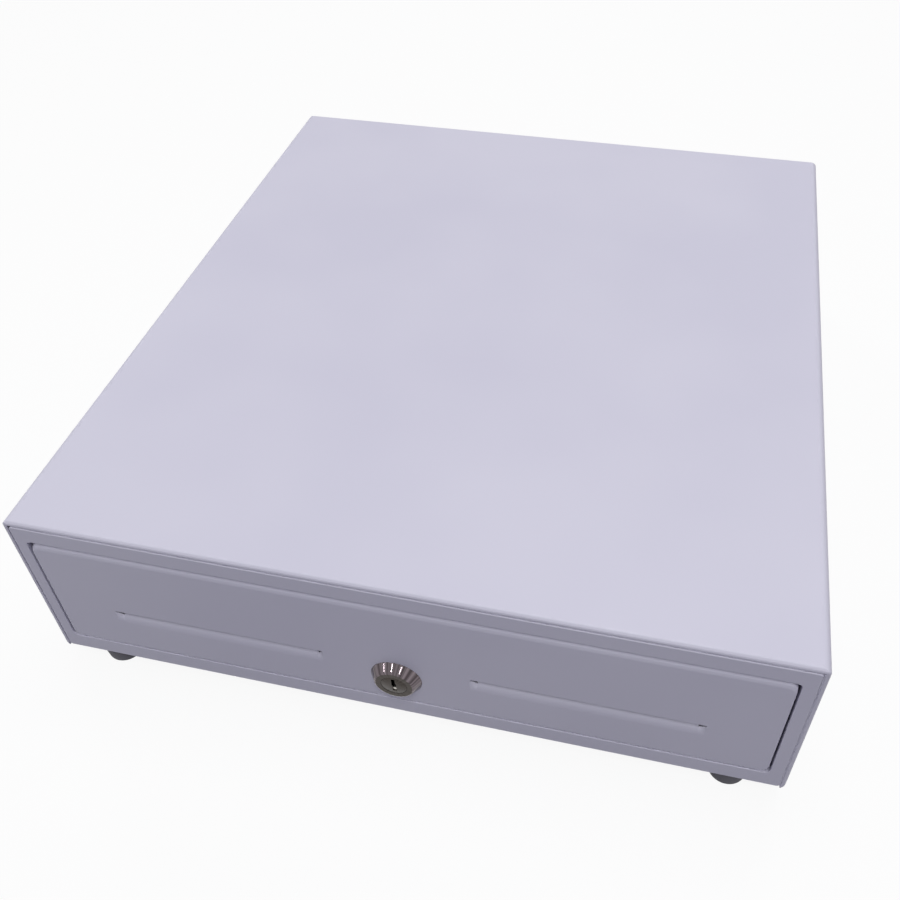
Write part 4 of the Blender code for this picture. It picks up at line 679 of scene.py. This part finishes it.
def make_plug():
    face = 0.06 - PROUD
    tail = BARREL_LENGTH + PLUG_TAIL
    profile = [(0, face), (PLUG_RADIUS - 0.12, face), (PLUG_RADIUS - 0.03, face + 0.04)]
    profile += [(PLUG_RADIUS, face + 0.14), (PLUG_RADIUS, tail), (STEM_RADIUS, tail)]
    profile += [(STEM_RADIUS, STEM_END - 0.2), (STEM_RADIUS - 0.2, STEM_END), (0, STEM_END)]
    plug = turned(profile, lock_axis, ALONG_Y, PLUG_SIDES)
    for way in (-1, 1):
        middle = -way * KEYWAY_STEP / 2
        levels = sorted((KEYWAY_LIFT - way * KEYWAY_WIDTH / 2, KEYWAY_LIFT + way * KEYWAY_HEIGHT / 2))
        low = Vector((middle - KEYWAY_WIDTH / 2, face + KEYWAY_REACH[0], levels[0])) * MM
        high = Vector((middle + KEYWAY_WIDTH / 2, face + KEYWAY_REACH[1], levels[1])) * MM
        plug = carve(plug, block(lock_axis + low, lock_axis + high))
    make_piece("lock_plug_turned", plug, painted_dark_chrome, "lock", ["lock_plug"], LOCK_CREASE)
    foot = Vector((0, face, KEYWAY_LIFT - KEYWAY_HEIGHT / 2))
    low = lock_axis + (foot + Vector(WAFER_LOW)) * MM
    high = lock_axis + (foot + Vector(WAFER_HIGH)) * MM
    wafer = block(low, high, WAFER_EDGE)
    make_piece("lock_wafer", wafer, finishes["nickel_plate"], "lock")


make_bezel()
make_face_ring()
make_plug()
print("lock stands proud by", round(PROUD, 2), "mm")

# %% [markdown]
# ## The seam beside the frame
#
# The frame is welded into the case before both are coated. On the right the seam is tight, and the coat
# nearly fills it, so it shows as a soft line there. On the left it stays open and dark. A thin bead of
# coat, set a little behind the front, fills the tight side.

# %% The seam beside the frame
SEAM = 0.3 * MM
SEAM_SINK = 0.25 * MM
SEAM_BACK = 1.5 * MM
frame_low, frame_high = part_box("front_frame")
bead_low = Vector((frame_high.x, frame_low.y + SEAM_SINK, frame_low.z))
bead_high = Vector((frame_high.x + SEAM, frame_low.y + SEAM_BACK, frame_high.z))
bead = block(bead_low, bead_high)
make_piece("seam_bead", bead, finishes["white_powder_coat"], "case")
print("seam bead:", [round(v / MM, 2) for v in bead_high - bead_low], "mm")

# %% [markdown]
# ## Feet and rollers
#
# The feet are turned shapes of rubber: a cup that tapers downwards, with a hollow below and a stem that
# is pushed through the base and spreads above it. The rollers are nylon, with a wide tread and a thinner
# web. Both are spun from their profile with enough sides to look round.

# %% Feet and rollers
ROUND_SIDES = 72
FOOT_CREASE = 50
FOOT_HOLLOW = [(0, 6.0), (4.0, 6.0), (4.0, 0.3), (4.3, 0.0)]
FOOT_CUP = [(7.8, 0.0), (8.4, 0.16), (8.84, 0.6), (9.0, 1.2), (10.0, 11.1), (9.82, 11.52), (9.4, 11.7)]
FOOT_STEM = [(5.0, 11.7), (5.0, 13.0), (3.0, 13.0), (3.0, 14.6), (4.3, 14.6), (3.0, 17.4), (0, 17.4)]
ROLLER_WEB = [(2.9, 2.5), (3.7, 2.5), (3.7, 1.25), (7.25, 1.25)]
ROLLER_TREAD = [(7.25, 2.5), (8.0, 2.5), (8.35, 2.35), (8.5, 2.0)]


def make_foot(node):
    low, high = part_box(node)
    middle = (low + high) / 2
    foot = turned(FOOT_HOLLOW + FOOT_CUP + FOOT_STEM, (middle.x, middle.y, 0), (0, 0, 1), ROUND_SIDES)
    make_piece(node + "_cup", foot, finishes["grey_rubber"], "case", [node], FOOT_CREASE)


def make_roller(node):
    side = ROLLER_WEB + ROLLER_TREAD
    profile = side + [(radius, -along) for radius, along in reversed(side)]
    roller = turned(profile, joint_at[node + "_spin"], (1, 0, 0), ROUND_SIDES)
    make_piece(node + "_wheel", roller, finishes["white_nylon"], node, [node])


for node in FEET:
    make_foot(node)
for node in ROLLERS:
    make_roller(node)
print("feet:", len(FEET), "rollers:", len(ROLLERS))

# %% [markdown]
# ## The springs
#
# A spring is a helix, so its points come from a formula: a point goes round the axis while it climbs
# along it. The spring that pushes the drawer out is a compression spring. Its end turns lie flat against
# each other, so its climb starts and stops slowly. The hook's spring and the clips' springs are torsion
# springs, with two straight legs.

# %% Helpers for springs
POINTS_A_TURN = 40


def helix(radius, climb, turns, start, axis, first, hand=1):
    """Points round an axis from the direction first. A function of the share of the way gives the climb."""
    along, out = Vector(axis), Vector(first)
    side = along.cross(out) * hand
    points = []
    count = turns * POINTS_A_TURN
    for k in range(count + 1):
        angle = math.tau * k / POINTS_A_TURN
        rim = out * math.cos(angle) + side * math.sin(angle)
        points.append(Vector(start) + rim * radius + along * climb(k / count))
    return points


def leg(start, end, steps=6):
    """Points from a spring's end to the tip of its straight leg."""
    return [start.lerp(end, k / steps) for k in range(1, steps + 1)]


def make_spring(node, points, thick_in_mm):
    """The wire that stands for a spring's solid."""
    shape = wire(points, thick_in_mm)
    make_piece(node + "_wire", shape, finishes["spring_steel"], body_of[node], [node])


# %% [markdown]
# ## The drawer's push spring and the hook's spring
#
# The push spring has closed ends, so that it stands square on its guide and on the drawer's back. The
# hook's spring sits round the post. One leg lies along the hook and the other rests on a tab of the
# catch plate.

# %% The drawer's push spring and the hook's spring
CLOSED_PITCH = 1.08
HOOK_ANGLE = math.radians(14)


def push_spring():
    thick, turns = 1.4, 11
    low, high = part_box("eject_spring")
    middle = (low + high) / 2
    radius = (high.x - low.x - thick * MM) / 2
    length = high.y - low.y - thick * MM
    closed = CLOSED_PITCH * thick * MM
    open_pitch = (length - 2 * closed) / (turns - 2)

    def climb(share):
        """One closed turn at each end, and open turns between."""
        turn = share * turns
        opened = min(max(turn - 1, 0), turns - 2)
        return (turn - opened) * closed + opened * open_pitch

    start = (middle.x, high.y - thick / 2 * MM, middle.z)
    make_spring("eject_spring", helix(radius, climb, turns, start, (0, -1, 0), (0, 0, 1)), thick)
    print("push spring:", turns, "turns, open ones", round(open_pitch / MM, 2), "mm apart")


def hook_spring():
    thick, radius, pitch, turns, reach = 0.8, 4.6 * MM, 1.4 * MM, 5, 13 * MM
    low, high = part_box("latch_spring")
    pivot = joint_at["latch_swing"]
    start = Vector((pivot.x, pivot.y, low.z + thick / 2 * MM))
    coil = helix(radius, lambda share: share * turns * pitch, turns, start, (0, 0, 1), (-1, 0, 0), -1)
    near_tip = coil[0] + Vector((math.sin(HOOK_ANGLE), -math.cos(HOOK_ANGLE), 0)) * reach
    far_tip = coil[-1].copy()
    far_tip.y = high.y - thick / 2 * MM
    make_spring("latch_spring", leg(coil[0], near_tip)[::-1] + coil + leg(coil[-1], far_tip), thick)
    print("hook spring:", turns, "turns")


push_spring()
hook_spring()

# %% [markdown]
# ## The clips' springs
#
# Each note clip has a torsion spring on the rod, in the gap between the clip's two knuckles. Its front
# leg climbs on to the clip's arm and presses it down on the notes, and its short rear leg reaches back
# to the till's wall.

# %% The clips' springs
ARM_SLOPE = Vector((0, -64.0, -29.9)).normalized()
ARM_UP = Vector((0, ARM_SLOPE.z, -ARM_SLOPE.y))
KNEE_SHARE = 0.45


def clip_spring(number):
    thick, radius, turns, pitch = 0.9, 4.1 * MM, 5, 1.72 * MM
    leg_reach, leg_rise, tail_reach = 18 * MM, 1.25 * MM, 11.5 * MM
    node = f"clip_spring_{number}"
    pivot = joint_at[f"clip_{number}_lift"]
    start = pivot - Vector((turns * pitch / 2, 0, 0))
    coil = helix(radius, lambda share: share * turns * pitch, turns, start, (1, 0, 0), ARM_UP)
    knee = coil[0] + ARM_SLOPE * leg_reach * KNEE_SHARE + ARM_UP * leg_rise
    tip = coil[0] + ARM_SLOPE * leg_reach + ARM_UP * leg_rise
    front_leg = leg(coil[0], knee) + leg(knee, tip)
    tail = Vector((coil[-1].x, pivot.y + tail_reach, coil[-1].z))
    make_spring(node, front_leg[::-1] + coil + leg(coil[-1], tail), thick)


for number in (1, 2, 3, 4):
    clip_spring(number)
print("springs:", 2 + len(CLIP_SPRINGS))

# %% [markdown]
# ## The coil and its lead
#
# The magnet that frees the hook is a nylon bobbin wound with enamelled copper wire. The turns lie side
# by side, so the winding is a spun profile with one small crest for each turn. A round black lead runs
# from the socket in the rear panel to the coil.

# %% The coil and its lead
COIL_SIDES = 96
COIL_CREASE = 70
LEAD_CREASE = 60
LEAD_THICK = 3.6
LEAD_GAP = 0.3 * MM
LEAD_STRAIGHT = 6 * MM
LEAD_BEND = Vector((10, -16, -6)) * MM
LEAD_RUN = Vector((-24, -1, -1)) * MM
WIRE_CREST = ((0.05, 0.2), (0.25, 0.05), (0.5, 0.0), (0.75, 0.05), (0.95, 0.2))
ALONG_X = (1, 0, 0)


def make_coil():
    low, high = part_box("solenoid_coil")
    centre = Vector((low.x, (low.y + high.y) / 2, (low.z + high.z) / 2))
    length = (high.x - low.x) / MM
    bore, core, flange, rim = 4.6, 6.0, 2.0, 12.8
    near = [(bore, 0), (rim - 0.3, 0), (rim, 0.3), (rim, flange - 0.2), (rim - 0.2, flange), (core, flange)]
    bobbin = near + [(radius, length - along) for radius, along in reversed(near)]
    spool = turned(bobbin, centre, ALONG_X, COIL_SIDES)
    make_piece("coil_bobbin", spool, finishes["white_nylon"], "case")
    gauge, crest, inside = 0.6, 11.8, core + 0.05
    turns = int((length - 2 * flange) / gauge)
    winding = [(inside, flange + 0.05)]
    for k in range(turns):
        for share, drop in WIRE_CREST:
            winding.append((crest - drop, flange + (k + share) * gauge))
    winding.append((inside, winding[-1][1]))
    shape = turned(winding, centre, ALONG_X, COIL_SIDES)
    copper = finishes["wound_copper_wire"]
    make_piece("coil_winding", shape, copper, "case", ["solenoid_coil"], COIL_CREASE)
    print("turns side by side on the coil:", turns)


def smooth_line(knots, steps=12):
    """Points on a smooth line through knots."""
    knots = [2 * knots[0] - knots[1]] + knots + [2 * knots[-1] - knots[-2]]
    points = []
    for a, b, c, d in zip(knots, knots[1:], knots[2:], knots[3:]):
        for k in range(steps):
            t = k / steps
            bend = 2 * a - 5 * b + 4 * c - d
            swing = 3 * b - a - 3 * c + d
            points.append((2 * b + (c - a) * t + bend * t**2 + swing * t**3) / 2)
    return points + [knots[-2]]


def make_lead():
    socket_low, socket_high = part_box("lead_socket")
    coil_low, coil_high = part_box("solenoid_coil")
    socket_middle = (socket_low + socket_high) / 2
    coil_middle = (coil_low + coil_high) / 2
    start = Vector((socket_middle.x, socket_low.y - LEAD_GAP, socket_middle.z))
    end = Vector((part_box("solenoid_yoke")[0].x - LEAD_GAP, coil_middle.y, coil_middle.z))
    after_start = start - Vector((0, LEAD_STRAIGHT, 0))
    before_end = end - Vector((LEAD_STRAIGHT, 0, 0))
    line = smooth_line([start, after_start, start + LEAD_BEND, end + LEAD_RUN, before_end, end])
    jacket = wire(line, LEAD_THICK)
    pvc = finishes["black_pvc"]
    make_piece("coil_lead_jacket", jacket, pvc, "case", ["coil_lead"], LEAD_CREASE)
    print("coil lead:", round(sum((b - a).length for a, b in zip(line, line[1:])) / MM), "mm long")


make_coil()
make_lead()

# %% [markdown]
# ## Screws and rivets
#
# The case is held by small screws with a cross recess: in the corners of the rear panel, along the
# turned-in bottom edges, and on the catch plate. The runners are riveted. A screw head is a spun dome
# with two bars carved out of it, and a rivet is a plain dome. Their profiles are shares of the head's
# radius and height. The heads of one group are merged into one piece.

# %% Screw and rivet heads
SCREW_DOME = ((0, 1), (0.5, 0.97), (0.8, 0.82), (0.96, 0.5), (1, 0.2), (0.97, 0), (0, 0))
RIVET_DOME = ((0, 1), (0.5, 0.9), (0.85, 0.55), (1, 0), (0, 0))
SCREW_SIDES = 48
RIVET_SIDES = 40
RECESS_LENGTH = 0.58
RECESS_WIDTH = 0.13
RECESS_FLOOR = 0.35
RECESS_TOP = 1.3


def screw_head(place, axis, radius, height):
    """A pan head with a cross recess, standing on a face at a place."""
    profile = [(radius * share, height * rise) for share, rise in SCREW_DOME]
    head = turned(profile, place, axis, SCREW_SIDES)
    along = Vector(axis)
    side = along.orthogonal().normalized()
    for way, across in ((side, along.cross(side)), (along.cross(side), side)):
        arm = way * radius * RECESS_LENGTH + across * radius * RECESS_WIDTH
        bottom = Vector(place) + along * height * RECESS_FLOOR * MM
        top = Vector(place) + along * height * RECESS_TOP * MM
        corners = [point + sign * arm * MM for point in (bottom, top) for sign in (-1, 1)]
        low = [min(corner[k] for corner in corners) for k in range(3)]
        high = [max(corner[k] for corner in corners) for k in range(3)]
        head = carve(head, block(low, high))
    return head


def rivet_head(place, axis, radius, height):
    """A low dome on a face at a place."""
    profile = [(radius * share, height * rise) for share, rise in RIVET_DOME]
    return turned(profile, place, axis, RIVET_SIDES)


# %% [markdown]
# ## Where the screws and rivets sit
#
# Places are written in millimetres: how far from the middle, how far behind the drawer's front and how
# high. On the case and the runners, left and right mirror each other. The plate's screws are near its
# corners, apart from one that makes room for the switch.

# %% Where the screws and rivets sit
REAR_SCREW_X = 158 * MM
REAR_SCREW_LEVELS = (30, 92)
EDGE_SCREW_X = 168.5 * MM
EDGE_SCREW_BACKS = (60, 195, 330)
PLATE_SCREWS = ((-103, 366), (-60, 322), (64, 322), (64, 366))
PLATE_TOP = 16.1 * MM
RUNNER_SHEET = 1.2 * MM
RAIL_RIVET_BACKS = (45, 140, 235, 325)
RAIL_RIVET_LEVEL = 50 * MM
SLIDE_RIVET_BACKS = (40, 120, 200, 280)
SLIDE_RIVET_LEVEL = 42.8 * MM
ARM_RIVET_X = 148.5 * MM
ARM_RIVET_BACK = 2.5 * MM
ARM_RIVET_LEVELS = (42, 56, 70)


def case_screws():
    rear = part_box("rear_panel")[1].y
    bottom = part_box("case_cover")[0].z
    heads = []
    for side in (-1, 1):
        for level in REAR_SCREW_LEVELS:
            heads.append(screw_head((side * REAR_SCREW_X, rear, level * MM), (0, 1, 0), 3.2, 1.7))
        for back in EDGE_SCREW_BACKS:
            place = (side * EDGE_SCREW_X, lock_axis.y + back * MM, bottom)
            heads.append(screw_head(place, (0, 0, -1), 2.9, 1.5))
    for x, back in PLATE_SCREWS:
        place = (x * MM, lock_axis.y + back * MM, PLATE_TOP)
        heads.append(screw_head(place, (0, 0, 1), 2.9, 1.6))
    count = len(heads)
    make_piece("case_screws", merge(heads), finishes["zinc_plate"], "case")
    return count


def runner_rivets():
    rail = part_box("case_rail_right")[1].x - RUNNER_SHEET
    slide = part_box("drawer_slide_right")[0].x + RUNNER_SHEET
    in_case, on_drawer = [], []
    for side in (-1, 1):
        for back in RAIL_RIVET_BACKS:
            place = (side * rail, lock_axis.y + back * MM, RAIL_RIVET_LEVEL)
            in_case.append(rivet_head(place, (-side, 0, 0), 3.0, 0.8))
        for back in SLIDE_RIVET_BACKS:
            place = (side * slide, lock_axis.y + back * MM, SLIDE_RIVET_LEVEL)
            on_drawer.append(rivet_head(place, (side, 0, 0), 1.8, 0.45))
        for level in ARM_RIVET_LEVELS:
            place = (side * ARM_RIVET_X, lock_axis.y + ARM_RIVET_BACK, level * MM)
            on_drawer.append(rivet_head(place, (0, 1, 0), 2.2, 0.9))
    count = len(in_case) + len(on_drawer)
    make_piece("rail_rivets", merge(in_case), finishes["zinc_plate"], "case")
    make_piece("drawer_rivets", merge(on_drawer), finishes["zinc_plate"], "drawer")
    return count


print("screws:", case_screws(), "rivets:", runner_rivets())

# %% [markdown]
# ## Contacts and terminals
#
# The socket in the rear panel is the six-wire kind that a receipt printer drives. Its contacts are
# springy wires that slope down from the roof of its well. The switch that senses the shut drawer has
# three flat terminals at its back and two screws that hold it.

# %% Contacts and terminals
CONTACTS = 6
CONTACT_PITCH = 1.02 * MM
CONTACT_THICK = 0.45
TERMINALS = (-6, 0, 6)
TERMINAL_HALF = 1.4 * MM
TERMINAL_THIN = 0.25 * MM
TERMINAL_REACH = 5.5 * MM
TERMINAL_EDGE = 0.1
SWITCH_SCREWS = (-6, 6)


def socket_contacts():
    low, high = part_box("lead_socket")
    middle = (low.x + high.x) / 2
    roof, floor = high.z - 2.9 * MM, high.z - 6.3 * MM
    mouth, root = high.y - 3.5 * MM, high.y - 10.7 * MM
    nose = Vector((0, 0.9, 0.1)) * MM
    wires = []
    for k in range(CONTACTS):
        x = middle + (k - (CONTACTS - 1) / 2) * CONTACT_PITCH
        tip = Vector((x, mouth, roof))
        heel = Vector((x, root, floor))
        wires.append(wire([tip + nose, tip, tip.lerp(heel, 0.5), heel], CONTACT_THICK))
    make_piece("socket_contacts", merge(wires), finishes["nickel_plate"], "case")


def switch_terminals():
    low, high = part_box("drawer_switch")
    middle = (low + high) / 2
    blades = []
    for offset in TERMINALS:
        x = middle.x + offset * MM
        blade_low = (x - TERMINAL_HALF, high.y + 0.02 * MM, middle.z - TERMINAL_THIN)
        blade_high = (x + TERMINAL_HALF, high.y + TERMINAL_REACH, middle.z + TERMINAL_THIN)
        blades.append(block(blade_low, blade_high, TERMINAL_EDGE))
    make_piece("switch_terminals", merge(blades), finishes["nickel_plate"], "case")
    screws = []
    for offset in SWITCH_SCREWS:
        place = (middle.x + offset * MM, middle.y, high.z)
        screws.append(screw_head(place, (0, 0, 1), 2.2, 1.3))
    make_piece("switch_screws", merge(screws), finishes["zinc_plate"], "case")


socket_contacts()
switch_terminals()
print("contacts:", CONTACTS, "terminals:", len(TERMINALS), "switch screws:", len(SWITCH_SCREWS))

# %% [markdown]
# ## The studio
#
# The drawer stands on a plain pale floor, whose material answers rays in two ways. Rays from the camera,
# from mirrors and through glass find nearly white paper, which glows and still keeps a soft shadow. All
# other rays find a darker matte sheet, so that the floor throws less light up at the drawer's front. The
# world is made in the same way: white where it is looked at, and only a little light otherwise.

# %% Floor and world
FLOOR_HALF = 3.0
FLOOR_MATTE = "#7d7b8c"
FLOOR_PAPER = "#f4f4f4"
FLOOR_GLOW = 0.9
WORLD_COLOUR = "#dfe3ff"
WORLD_STRENGTH = 0.08


def plain_white(tree):
    """A shader that shows white whatever lights it."""
    return add(tree, "ShaderNodeEmission", {"Color": (1, 1, 1, 1), "Strength": 1.0}).outputs[0]


def shown_and_lit(tree, lit, shown):
    """One shader for the light that a surface gives, and another for camera, mirror and glass rays."""
    path = add(tree, "ShaderNodeLightPath")
    seen = path.outputs["Is Camera Ray"]
    for kind in ("Is Glossy Ray", "Is Transmission Ray"):
        either = add(tree, "ShaderNodeMath", links={0: seen, 1: path.outputs[kind]}, operation="MAXIMUM")
        seen = either.outputs[0]
    return add(tree, "ShaderNodeMixShader", links={0: seen, 1: lit, 2: shown}).outputs[0]


def make_floor():
    shape = bmesh.new()
    bmesh.ops.create_grid(shape, x_segments=1, y_segments=1, size=FLOOR_HALF)
    mesh = bpy.data.meshes.new("floor")
    shape.to_mesh(mesh)
    shape.free()
    floor = bpy.data.objects.new("floor", mesh)
    bpy.context.scene.collection.objects.link(floor)
    paper = bpy.data.materials.new("white_paper")
    paper.use_nodes = True
    tree = paper.node_tree
    matte = add(tree, "ShaderNodeBsdfDiffuse", {"Color": colour(FLOOR_MATTE)})
    sheet = add(tree, "ShaderNodeBsdfDiffuse", {"Color": colour(FLOOR_PAPER)})
    bright = add(tree, "ShaderNodeMixShader", {0: FLOOR_GLOW}, {1: sheet.outputs[0], 2: plain_white(tree)})
    surface = shown_and_lit(tree, matte.outputs[0], bright.outputs[0])
    tree.links.new(surface, tree.nodes["Material Output"].inputs["Surface"])
    mesh.materials.append(paper)


def make_world():
    world = bpy.data.worlds.new("studio")
    bpy.context.scene.world = world
    world.use_nodes = True
    tree = world.node_tree
    dim = tree.nodes["Background"]
    dim.inputs["Color"].default_value = colour(WORLD_COLOUR)
    dim.inputs["Strength"].default_value = WORLD_STRENGTH
    surface = shown_and_lit(tree, dim.outputs[0], plain_white(tree))
    tree.links.new(surface, tree.nodes["World Output"].inputs["Surface"])


make_floor()
make_world()
print("floor:", 2 * FLOOR_HALF, "m square, world strength:", WORLD_STRENGTH)

# %% [markdown]
# ## Lamps
#
# An area lamp shines along its own minus Z axis, so a turn that points its Z axis away from the target
# aims it. A large key lamp hangs over the drawer, which is why its top is much lighter than its front. A
# fill lamp stands high in front, and two rear lamps keep the back from going dark. Mirrors don't see
# these three. The last three lamps are small and too weak to change the coat, but the bezel of the lock
# mirrors each as a thin bright streak. They stand where its slope sends the camera's view: each
# direction is the view direction mirrored in the slope at one place round the lock.

# %% Lamps
KEY_PLACE = Vector((0.05, 0.27, 2.25))
KEY_SIZE = 1.2
KEY_POWER = 15.6
FILL_PLACE = Vector((0.35, -1.2, 2.05))
FILL_SIZE = 1.0
FILL_POWER = 26.2
REAR_PLACES = (Vector((-1.5, 1.5, 1.5)), Vector((0.6, 2.0, 1.5)))
REAR_SIZE = 0.8
REAR_POWER = 9.0
LAMP_TARGET = Vector((0, 0, 0.06))
STREAK_ANGLES = (-25, -4, 18)
STREAK_REACH = 2.0
STREAK_SIZE = 0.06
STREAK_POWER = 0.5


def make_lamp(name, place, target, size, power):
    """A square area lamp at a place, aimed at a target."""
    lamp_data = bpy.data.lights.new(name, "AREA")
    lamp_data.energy = power
    lamp_data.size = size
    lamp = bpy.data.objects.new(name, lamp_data)
    lamp.location = place
    lamp.rotation_euler = (place - target).to_track_quat("Z", "Y").to_euler()
    bpy.context.scene.collection.objects.link(lamp)
    return lamp


def streak_way(angle):
    """Where the bezel's slope, at an angle round the lock from its top, mirrors the camera to."""
    turn = math.radians(angle)
    forward, outward = CONE_START[0] - CONE_END[0], CONE_START[1] - CONE_END[1]
    slope = Vector((outward * math.sin(turn), -forward, outward * math.cos(turn))).normalized()
    view = (CAMERA_PLACE - lock_axis).normalized()
    return 2 * slope.dot(view) * slope - view


make_lamp("key", KEY_PLACE, LAMP_TARGET, KEY_SIZE, KEY_POWER)
fill = make_lamp("fill", FILL_PLACE, LAMP_TARGET, FILL_SIZE, FILL_POWER)
fill.visible_glossy = False
for number, place in enumerate(REAR_PLACES, 1):
    rear = make_lamp(f"rear_{number}", place, LAMP_TARGET, REAR_SIZE, REAR_POWER)
    rear.visible_glossy = False
for number, angle in enumerate(STREAK_ANGLES, 1):
    way = streak_way(angle)
    make_lamp(f"streak_{number}", lock_axis + way * STREAK_REACH, lock_axis, STREAK_SIZE, STREAK_POWER)
    print("streak lamp towards", [round(v, 2) for v in way])
bpy.context.scene.view_settings.view_transform = "Standard"
